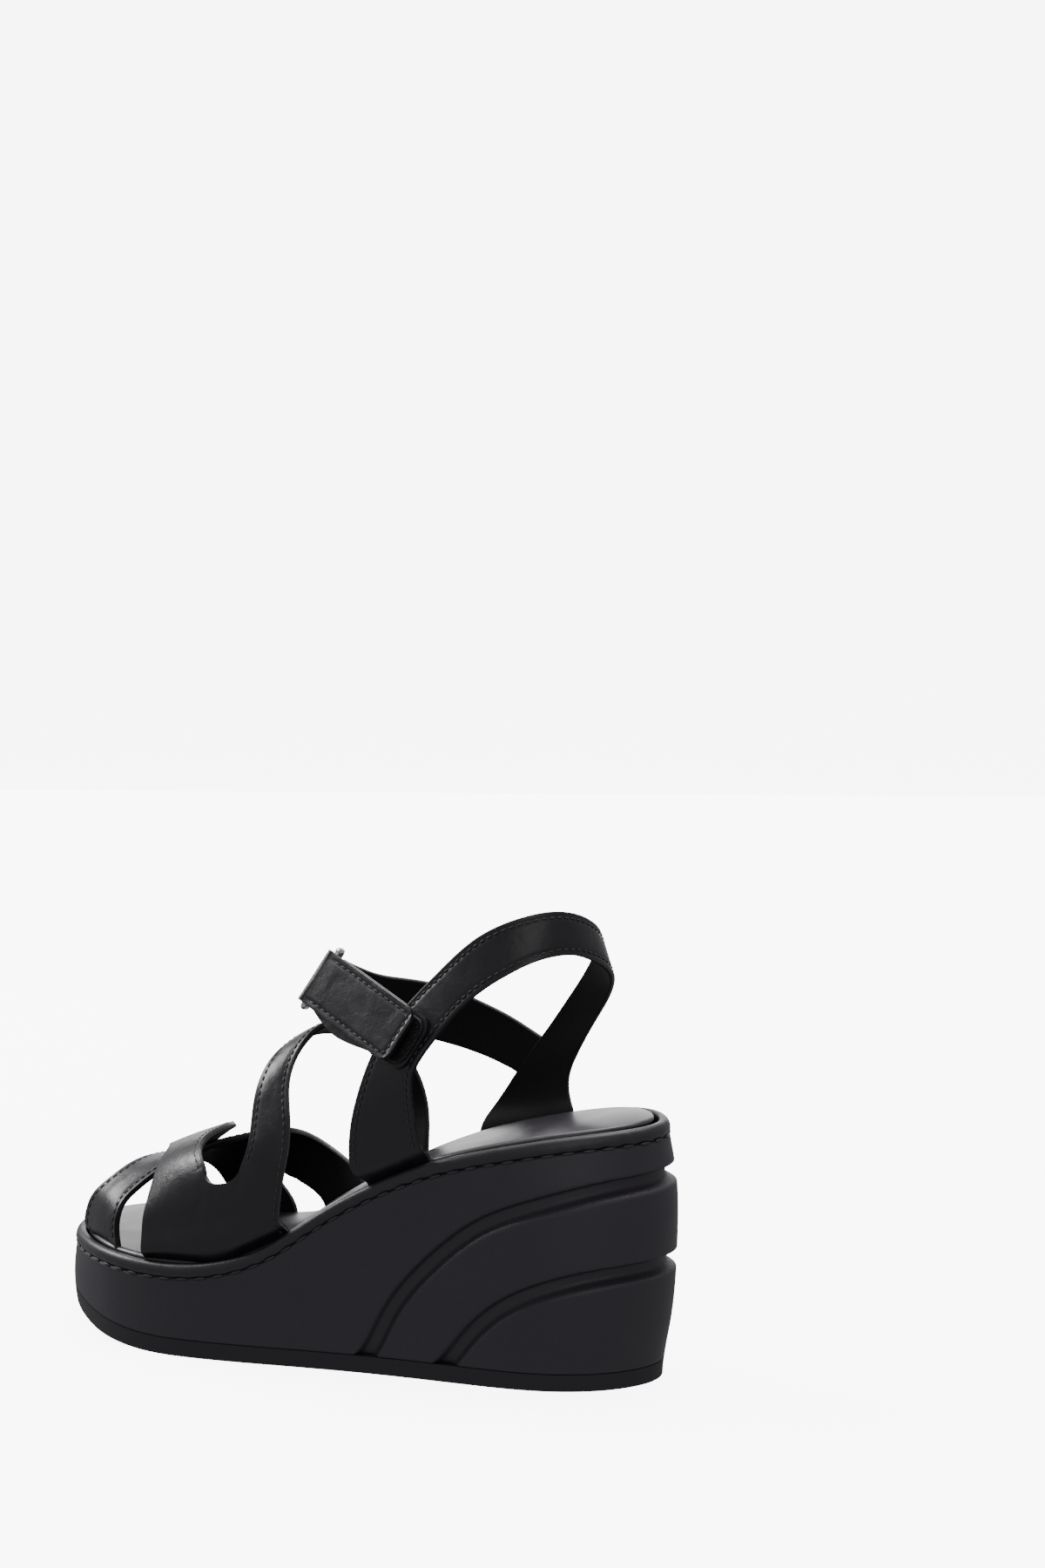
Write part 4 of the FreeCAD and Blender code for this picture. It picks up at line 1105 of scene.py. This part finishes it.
    def tab(self) -> None:
        """Tab round the ring's inner bar: leg, half turn, leg, then a box of stitches."""
        columns = 25
        half = self.tab_width / 2
        across = np.linspace(-half, half, columns)
        turn = np.linspace(np.pi / 2, 3 * np.pi / 2, 24)
        leg = np.linspace(self.tab_length, 0.2, 14)
        grids = []
        for radius in (self.inside + self.tab_leather, self.inside):
            upper = np.stack([leg, np.full_like(leg, radius)], axis=1)
            bend = np.stack([radius * np.cos(turn), radius * np.sin(turn)], axis=1)
            lower = np.stack([leg[::-1], np.full_like(leg, -radius)], axis=1)
            line = np.vstack([upper, bend, lower])
            local = (self.tab_origin + line[:, None, :1] * self.way + across[None, :, None] * self.across
                     + line[:, None, 1:] * self.tab_off)
            grids.append(local)
        vertices, faces = sheet_solid(*grids)
        piece = make_piece("ring_tab_leather", vertices, [faces], UPPER_LEATHER, Body.SANDAL,
                           ("ring_tab",))
        soften_edges(piece, 0.35, 2)
        corners = np.array([(4, -1), (10.4, -1), (10.4, 1), (4, 1), (4, -1)], float)
        corners[:, 1] *= half - 2.0
        level = self.inside + self.tab_leather + self.thread_lift
        path = (self.tab_origin + corners[:, :1] * self.way + corners[:, 1:] * self.across
                + level * self.tab_off)
        path = evenly_along(path, 0.4)
        vertices, faces = Thread().stitches(path, np.repeat(self.tab_off[None], len(path), axis=0))
        make_piece("ring_tab_thread", vertices, [faces], WAXED_THREAD, Body.SANDAL)

    def build(self) -> None:
        """Builds the whole closure."""
        self.lower_run()
        self.flap()
        self.tab()


# ---------------------------------------------------------------- straps


@dataclass
class StrapSheet:
    """One leather strap with its lining, in millimetres.

    The sheet through the lengthwise edges is the outer face of the leather.  In a strap that forks,
    the station numbered crotch of every edge lies level with the start of the slot.
    """

    name: str
    nodes: tuple[str, str]
    edges: tuple[Array, ...]
    inside: Callable[[Array], Array]
    rows: int = 170
    cells: int = 16
    crown: float = 0.5
    slot_from: float = 1.0
    slot_round: float = 0.05
    leather: float = 1.4
    lining: float = 0.8
    glue: float = 0.05
    seam_inset: float = 2.3
    seam_depth: float = 0.35
    seam_spread: float = 0.75
    thread_sink: float = 0.08
    seam_start: float = 0.05
    seams: tuple[int, ...] = (0, 1)
    crotch: int = 0
    gripped: float = 0.12

    def line(self, edge: Array, count: int) -> Array:
        """Smooth curve through one edge.

        A quadratic shift of the parameter brings the crotch station to the slot's own share.

        Args:
            edge: (n, 3) edge points.
            count: How many samples to return.

        Returns:
            (count, 3) samples.
        """
        curve = spline(edge, count)
        if not self.crotch:
            return curve
        passed = travelled(edge)
        goal = passed[self.crotch] / passed[-1]
        pull = (goal - self.slot_from) / (self.slot_from * (1 - self.slot_from))
        share = np.linspace(0, 1, count)
        where = share + pull * share * (1 - share)
        return np.stack([np.interp(where, share, curve[:, axis]) for axis in range(3)], axis=1)

    def surface(self) -> tuple[Array, Array, Array]:
        """The sheet as a grid.

        Rows run along the strap.  Across it, the grid follows a straight line between edges plus a
        crown that is highest half way.  With four edges, the rows end early between the two middle
        ones, on a round curve, which leaves the slot.

        Returns:
            (r, c, 3) points, (r, c, 3) unit normals, and the (r - 1, c - 1) cells that are there.
        """
        fine = 1200
        lines = np.stack([self.line(edge, fine) for edge in self.edges])
        strips = len(lines) - 1
        across = np.linspace(0, strips, strips * self.cells + 1)
        share = np.linspace(0, 1, self.rows)
        when = np.repeat(share[:, None], len(across), axis=1)
        kept = np.ones((self.rows - 1, len(across) - 1), bool)
        if strips == 3:
            level = int(round(self.slot_from * (self.rows - 1)))
            middle = np.clip(across - 1, 0, 1)
            dip = self.slot_round * (1 - (2 * middle - 1) ** 4)
            inside = (across >= 1) & (across <= 2)
            target = share[level] - np.where(inside, dip, 0.0)
            before = share[:level + 1] / share[level]
            ease = before ** 3
            when[:level + 1] = share[:level + 1, None] + ease[:, None] * (target - share[level])[None]
            gap = self.cells
            kept[level:, gap:2 * gap] = False
        index = when * (fine - 1)
        base = np.clip(index.astype(int), 0, fine - 2)
        late = (index - base)[..., None]
        strip = np.clip(across.astype(int), 0, strips - 1)
        local = (across - strip)[None, :, None]
        left = lines[strip[None], base] * (1 - late) + lines[strip[None], base + 1] * late
        right = lines[strip[None] + 1, base] * (1 - late) + lines[strip[None] + 1, base + 1] * late
        grid = left * (1 - local) + right * local
        if strips == 3:
            blend = smooth_step((when - self.slot_from * 0.45) / (self.slot_from * 0.5))[..., None]
            smooth = self.across_curve(lines, base, late, across)
            grid = smooth * (1 - blend) + grid * blend
        normals = grid_normals(grid, self.inside(grid))
        whole = (across / strips)[None, :, None]
        apart = smooth_step((when / self.slot_from - 0.5) / 0.5)[..., None] if strips == 3 else 1.0
        round_off = 4 * local * (1 - local) * apart + 4 * whole * (1 - whole) * (1 - apart)
        grid = grid + normals * round_off * self.crown * self.swell_share(share)[:, None, None]
        return grid, grid_normals(grid, self.inside(grid)), kept

    def across_curve(self, lines: Array, base: Array, late: Array, across: Array) -> Array:
        """Cubic through the four edges at each row, by Lagrange's weights."""
        nodes = np.arange(4.0)
        total = np.zeros((*base.shape, 3))
        for k in range(4):
            others = nodes[nodes != k]
            weight = np.prod((across[:, None] - others) / (k - others), axis=1)[None, :, None]
            total += weight * (lines[k, base] * (1 - late) + lines[k, base + 1] * late)
        return total

    def swell_share(self, share: Array) -> Array:
        """Crown along the strap: none where the ends are gripped by the sole."""
        return smooth_step(share / self.gripped) * smooth_step((1 - share) / self.gripped)

    @staticmethod
    def run_across(band: Array) -> Array:
        """Distance of each point from the first one of its row, along the row."""
        run = np.cumsum(np.linalg.norm(np.diff(band, axis=1), axis=2), axis=1)
        return np.concatenate([np.zeros((len(run), 1)), run], axis=1)

    def seam_path(self, grid: Array, normals: Array, columns: slice, from_end: bool,
                  rows: slice) -> tuple[Array, Array]:
        """Line that keeps seam_inset away from one edge of a band.

        Args:
            grid: Sheet points.
            normals: Sheet normals.
            columns: Columns of the band.
            from_end: True to follow the band's last column.
            rows: Rows to follow.

        Returns:
            Points on the leather's face and the normals there.
        """
        band = grid[rows, columns]
        ways = normals[rows, columns]
        if from_end:
            band, ways = band[:, ::-1], ways[:, ::-1]
        run = self.run_across(band)
        column = np.maximum(np.argmax(run > self.seam_inset, axis=1), 1)
        row = np.arange(len(band))
        low, high = run[row, column - 1], run[row, column]
        late = ((self.seam_inset - low) / np.maximum(high - low, 1e-6))[:, None]
        path = band[row, column - 1] * (1 - late) + band[row, column] * late
        return path, unit(ways[row, column])

    def build(self) -> None:
        """Builds leather, lining and stitching."""
        grid, normals, kept = self.surface()
        dent = self.seam_dent(grid)[..., None]
        outer = sheet_solid(grid - normals * dent, grid - normals * self.leather, kept)
        piece = make_piece(self.name, outer[0], [outer[1]], UPPER_LEATHER, Body.SANDAL,
                           (self.nodes[0],))
        soften_edges(piece, 0.45, 3)
        face = self.leather + 2 * self.glue
        inner = sheet_solid(grid - normals * face, grid - normals * (face + self.lining), kept)
        backing = make_piece(self.name + "_lining", inner[0], [inner[1]], LINING_LEATHER,
                             Body.SANDAL, (self.nodes[1],))
        soften_edges(backing, 0.25)
        self.sew(grid, normals)

    def bands(self) -> list[tuple[slice, bool, slice]]:
        """Edges to sew: columns of the band, which side, and the rows.

        Returns:
            One entry for each seam.
        """
        last = len(self.edges) - 1
        cells = self.cells
        end = int((1 - self.seam_start) * self.rows)
        whole = slice(int(self.seam_start * self.rows), end)
        full = slice(0, last * cells + 1)
        every = [(full, False, whole), (full, True, whole)]
        if last > 1:
            open_rows = slice(int((self.slot_from + 0.02) * self.rows), end)
            every += [(slice(0, cells + 1), True, open_rows),
                      (slice(2 * cells, 3 * cells + 1), False, open_rows)]
        return [every[index] for index in self.seams]

    def seam_dent(self, grid: Array) -> Array:
        """How far each stitched line pulls the leather's face in: a narrow bell across the seam."""
        dent = np.zeros(grid.shape[:2])
        for columns, from_end, rows in self.bands():
            run = self.run_across(grid[rows, columns])
            if from_end:
                run = run[:, -1:] - run
            bell = self.seam_depth * np.exp(-((run - self.seam_inset) / self.seam_spread) ** 2)
            dent[rows, columns] = np.maximum(dent[rows, columns], bell)
        return dent

    def sew(self, grid: Array, normals: Array) -> None:
        """Adds the stitching along the chosen edges."""
        parts = []
        for columns, from_end, rows in self.bands():
            path, ways = self.seam_path(grid, normals, columns, from_end, rows)
            parts.append(Thread().stitches(path - ways * self.thread_sink, ways))
        vertices, faces = join(parts)
        make_piece(self.name + "_thread", vertices, [faces], WAXED_THREAD, Body.SANDAL)


@dataclass
class Straps:
    """All straps of the upper. Stations are x, y and height above the rim, in millimetres."""

    shape: SoleShape
    closing: ClosingStrap
    seat_lift: float = -3.0
    grip_lift: float = 0.5
    slot_depth: float = 3.7
    foot_height: float = 22.0
    heel_middle: float = 62.0
    vamp: tuple[tuple[Station, ...], ...] = (
        ((-72, -41.5, -1), (-72, -45, 3), (-72, -45, 9), (-72, -43.5, 17), (-72, -39, 25), (-73, -32, 32),
         (-75, -24, 35), (-79, -12, 36), (-84, -1, 35), (-90, 9, 32), (-96, 17.5, 26), (-102, 24, 17),
         (-105.5, 27.5, 8), (-106, 27, -1)),
        ((-47, -41.5, -1), (-47, -44.5, 4), (-46.5, -45, 14), (-46, -44.5, 24), (-45.5, -42.8, 34.5),
         (-48.5, -39.5, 39.5), (-53, -33, 43), (-56.5, -21, 45.7), (-57.5, -8, 46.3), (-59, 4, 45.7),
         (-65, 16, 42.5), (-78, 26.5, 34), (-91, 32.3, 18), (-96, 33.5, -1)),
        ((-33, -40.5, -1), (-32.5, -44, 5), (-31.5, -45, 16), (-30.5, -44.8, 25), (-29.5, -44, 33.5),
         (-27, -42.5, 41), (-27, -39.5, 48), (-28.5, -32, 62), (-28.5, -20, 72), (-26, -6, 76.5),
         (-21.5, 8, 76), (-15, 20, 69), (-7, 28, 54), (0, 31.5, 28), (2, 27.5, -1)),
        ((-12, -37.5, -1), (-13, -41.5, 5), (-13, -43, 14), (-11.5, -43, 23), (-10, -41.5, 33),
         (-11, -38.5, 43), (-15, -31.5, 57), (-16.5, -21, 70), (-14.5, -8, 76.5), (-10.5, 6, 75),
         (-4.5, 18, 67), (5, 27, 50), (14.5, 31.5, 20), (16.5, 25.5, -1)))
    vamp_crotch: int = 5
    toe_front: tuple[Station, ...] = (
        (-106, -22, -1), (-110.5, -22, 3), (-111, -21, 9.5), (-107.5, -20.5, 17), (-102, -17, 23),
        (-97.5, -9.5, 27.5), (-94, 2, 29), (-90.5, 13, 28), (-87, 25, 25), (-83.5, 33.5, 20),
        (-80, 38.5, 12), (-77, 38, -1))
    toe_rear: tuple[Station, ...] = (
        (-86, -34.5, -1), (-88.5, -37, 5), (-89, -35.5, 12), (-88.5, -32, 17.5), (-86.5, -25.5, 22),
        (-83, -17.5, 26.5), (-76.5, -5, 32), (-67, 9, 36.5), (-55, 20, 39), (-44, 29.5, 37.5),
        (-29, 36, 25), (-12, 31, -1))
    toe_slot_front: tuple[Station, ...] = ((-65.5, 36, 24), (-55, 41, 12), (-48, 36, -1))
    toe_slot_rear: tuple[Station, ...] = ((-58, 36, 25), (-46, 40, 14), (-32, 33.5, -1))
    toe_shares: tuple[float, float] = (0.42, 0.62)
    heel_upper: tuple[Station, ...] = (
        (20, -34, -1), (17, -39.5, 7), (15.5, -41.5, 17), (16.5, -41.5, 28), (19.5, -40, 40),
        (25, -35.5, 52), (35, -30.5, 62.5), (48, -30.5, 71.5), (64, -30.5, 80.5), (78.5, -28, 84),
        (90, -21, 84), (96.5, -9, 80), (98, 3, 74), (95, 14, 67), (88, 22, 58), (76, 27, 45),
        (64, 29.5, 32), (52, 30, 19), (43, 28.5, 7), (40, 24.5, -1))
    heel_lower: tuple[Station, ...] = (
        (45, -32, -1), (43.5, -37.5, 7), (42, -39.5, 16), (41.5, -41, 26), (43.5, -41.5, 36.5),
        (49, -38.5, 46), (57, -37, 54), (66, -35.5, 60), (76, -33, 64), (87.5, -27.5, 67),
        (96, -18, 66.5), (101, -7, 62.5), (103, 4, 57), (100.5, 14, 51), (95, 21.5, 43.5),
        (86.5, 26, 33), (79.5, 28.5, 23), (75.5, 29.5, 13), (77, 28, 5), (79, 23.5, -1))
    under_upper: tuple[int, ...] = (6, 7)
    under_lower: tuple[int, ...] = (5, 6)
    instep_upper: tuple[Station, ...] = (
        (1, 7, 86), (9, 16, 77.5), (22, 24.5, 67), (38, 30, 53), (50, 32, 43), (62, 32.3, 33),
        (71, 31.6, 26.5))
    instep_lower: tuple[Station, ...] = (
        (-8, 5, 73), (1, 17, 62), (13, 25.5, 51), (30, 31, 37.5), (42, 32.3, 28.5), (50, 32.4, 22.5),
        (60, 32.2, 15))

    def slot_point(self, x: float, y: float, lift: float) -> Array:
        """Point in the slot inside the rim, nearest to an edge's own end.

        Args:
            x: Place along the sole.
            y: Place across it.
            lift: Height above the rim.

        Returns:
            The point.
        """
        nearest = int(np.argmin(np.hypot(*(self.shape.outline - [x, y]).T)))
        flat = self.shape.outline[nearest] - self.shape.outwards[nearest] * self.slot_depth
        return np.array([*flat, float(self.shape.rim(flat[0])) + lift])

    def edge(self, stations: tuple[Station, ...]) -> Array:
        """Edge points; a station below the rim stands for a strap end down in the slot.

        Args:
            stations: x, y and height above the rim.

        Returns:
            (n, 3) points.
        """
        points = []
        for number, (x, y, lift) in enumerate(stations):
            if lift >= 0:
                points.append(np.array([x, y, float(self.shape.rim(x)) + lift]))
                continue
            pair = [self.slot_point(x, y, self.seat_lift), self.slot_point(x, y, self.grip_lift)]
            points.extend(pair if number == 0 else pair[::-1])
        return np.array(points)

    def foot(self, grid: Array) -> Array:
        """Middle of the foot at each point's place along the sole."""
        x = grid[..., 0]
        return np.stack([x, np.zeros_like(x), self.shape.rim(x) + self.foot_height], axis=-1)

    def heel(self, grid: Array) -> Array:
        """Middle of the heel, level with each point."""
        x = np.minimum(grid[..., 0], self.heel_middle)
        return np.stack([x, np.zeros_like(x), grid[..., 2]], axis=-1)

    def build(self) -> None:
        """Builds the vamp, the toe strap, the heel strap and the instep strap."""
        vamp_edges = tuple(self.edge(stations) for stations in self.vamp)
        StrapSheet("vamp", ("lateral_vamp", "lateral_vamp_lining"), vamp_edges, self.foot, rows=190,
                   slot_from=0.345, slot_round=0.028, crown=0.6, seams=(1, 2, 3),
                   crotch=self.vamp_crotch).build()
        front, rear = self.edge(self.toe_front), self.edge(self.toe_rear)
        slot_front, slot_rear = self.edge(self.toe_slot_front), self.edge(self.toe_slot_rear)
        near = (front + (rear - front) * self.toe_shares[0])[:-len(slot_front)]
        far = (front + (rear - front) * self.toe_shares[1])[:-len(slot_rear)]
        StrapSheet("toe_strap", ("toe_strap", "toe_strap_lining"),
                   (front, np.vstack([near, slot_front]), np.vstack([far, slot_rear]), rear), self.foot,
                   rows=150, slot_from=0.83, slot_round=0.03, crown=0.5, seams=(0, 1)).build()
        upper, lower = self.edge(self.heel_upper), self.edge(self.heel_lower)
        for line, numbers in ((upper, self.under_upper), (lower, self.under_lower)):
            for number in numbers:
                line[number] = self.closing.under(line[number])
        StrapSheet("heel_strap", ("heel_strap", "heel_strap_lining"), (upper, lower), self.heel, rows=300,
                   cells=30, crown=0.5).build()
        tab_upper = self.closing.tab_line(1.0)
        tab_lower = self.closing.tab_line(-1.0)
        StrapSheet("instep_strap", ("instep_strap", "instep_strap_lining"),
                   (np.vstack([tab_upper, self.edge(self.instep_upper)]),
                    np.vstack([tab_lower, self.edge(self.instep_lower)])), self.foot, rows=170, cells=24,
                   crown=0.5).build()


# ---------------------------------------------------------------- carried-over pieces and studio

CARRIED: dict[str, Finish] = {
    "outsole": OUTSOLE_RUBBER,
    "insole_board": FIBRE_BOARD,
    "steel_shank": SPRING_STEEL,
    "shank_rivets": SPRING_STEEL,
    "footbed_foam": OPEN_CELL_FOAM,
    "strap_ring": NICKEL_WIRE,
}


def dress_carried() -> None:
    """Gives each CAD piece that stays its own finish."""
    for name, finish in CARRIED.items():
        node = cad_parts[name]
        for place in node.material_slots:
            place.material = finish.material()
        log.info("%s keeps its shape, in %s", name, finish.name)


@dataclass(frozen=True)
class Lamp:
    """Square soft light: where it stands and its side in metres, and its power in watts."""

    name: str
    place: Place
    size: float
    power: float


@dataclass
class Studio:
    """Floor, soft lights and camera. Distances are metres."""

    wall: float = 3.4
    sweep: float = 1.2
    wall_height: float = 4.5
    floor_sides: int = 72
    camera_place: Place = (0.5438, -1.0931, 0.3605)
    camera_aim: Place = (0.06848, 0.0, 0.22171)
    focal: float = 73.73
    lit_point: Place = (0.0, 0.0, 0.06)
    air_strength: float = 0.42
    lamps: tuple[Lamp, ...] = (
        Lamp("left_key", (-1.3, 0.1, 1.1), 0.8, 30.0), Lamp("top_soft", (0.1, 0.4, 1.5), 1.1, 26.0),
        Lamp("front_fill", (0.9, -1.6, 0.9), 1.4, 6.0), Lamp("back_soft", (-0.55, 1.5, 0.6), 1.3, 11.0))

    def floor(self) -> None:
        """Pale seamless floor that turns up into a wall all round.

        A profile of radius and height, flat and then a quarter circle and an upright, goes once
        round the vertical axis.  The paper glows for the camera only, so the leather stays black.
        """
        bend = np.linspace(0, np.pi / 2, 12)
        radius = np.concatenate([[0.02, 0.6, 1.4], self.wall - self.sweep + self.sweep * np.sin(bend),
                                 [self.wall]])
        height = np.concatenate([[0.0, 0.0, 0.0], self.sweep * (1 - np.cos(bend)), [self.wall_height]])
        sides = self.floor_sides
        turn = np.arange(sides) * 2 * np.pi / sides
        rings = np.stack([radius[:, None] * np.cos(turn), radius[:, None] * np.sin(turn),
                          np.repeat(height[:, None], sides, axis=1)], axis=-1).reshape(-1, 3)
        faces = grid_faces(len(radius), sides, wrap=True)
        mesh = bpy.data.meshes.new("studio_floor")
        mesh.from_pydata(rings.tolist(), [], faces.tolist() + [list(range(sides))])
        mesh.polygons.foreach_set("use_smooth", np.ones(len(faces) + 1, bool))
        mesh.materials.append(STUDIO_PAPER.material())
        floor = bpy.data.objects.new("studio_floor", mesh)
        bpy.context.scene.collection.objects.link(floor)
        floor.visible_diffuse = False
        floor.visible_glossy = False

    def light(self, lamp: Lamp) -> None:
        """Adds one soft square light that faces the sandal."""
        source = bpy.data.lights.new(lamp.name, "AREA")
        source.shape = "SQUARE"
        source.size = lamp.size
        source.energy = lamp.power
        holder = bpy.data.objects.new(lamp.name, source)
        holder.location = lamp.place
        way = Vector(self.lit_point) - Vector(lamp.place)
        holder.rotation_euler = way.to_track_quat("-Z", "Y").to_euler()
        holder.visible_camera = False
        bpy.context.scene.collection.objects.link(holder)

    def camera(self) -> None:
        """Camera a little above the sandal, on its outer side and turned towards the heel."""
        lens = bpy.data.cameras.new("camera")
        lens.sensor_fit = "VERTICAL"
        lens.sensor_height = 36.0
        lens.lens = self.focal
        lens.clip_start = 0.05
        lens.clip_end = 50.0
        holder = bpy.data.objects.new("camera", lens)
        holder.location = self.camera_place
        aim = Vector(self.camera_aim) - Vector(self.camera_place)
        holder.rotation_euler = aim.to_track_quat("-Z", "Y").to_euler()
        bpy.context.scene.collection.objects.link(holder)
        bpy.context.scene.camera = holder

    def build(self) -> None:
        """Sets up floor, light and camera."""
        self.camera()
        self.floor()
        for lamp in self.lamps:
            self.light(lamp)
        world = bpy.data.worlds.new("studio_air")
        bpy.context.scene.world = world
        world.use_nodes = True
        air = world.node_tree.nodes["Background"]
        air.inputs["Color"].default_value = (1.0, 1.0, 1.0, 1.0)
        air.inputs["Strength"].default_value = self.air_strength


def main() -> None:
    """Builds the sandal in the order it is made, then the studio round it."""
    Studio().build()
    dress_carried()
    shape = SoleShape()
    Sole(shape).build()
    closing = ClosingStrap(shape)
    closing.build()
    Straps(shape, closing).build()


if __name__ == "__main__":
    main()
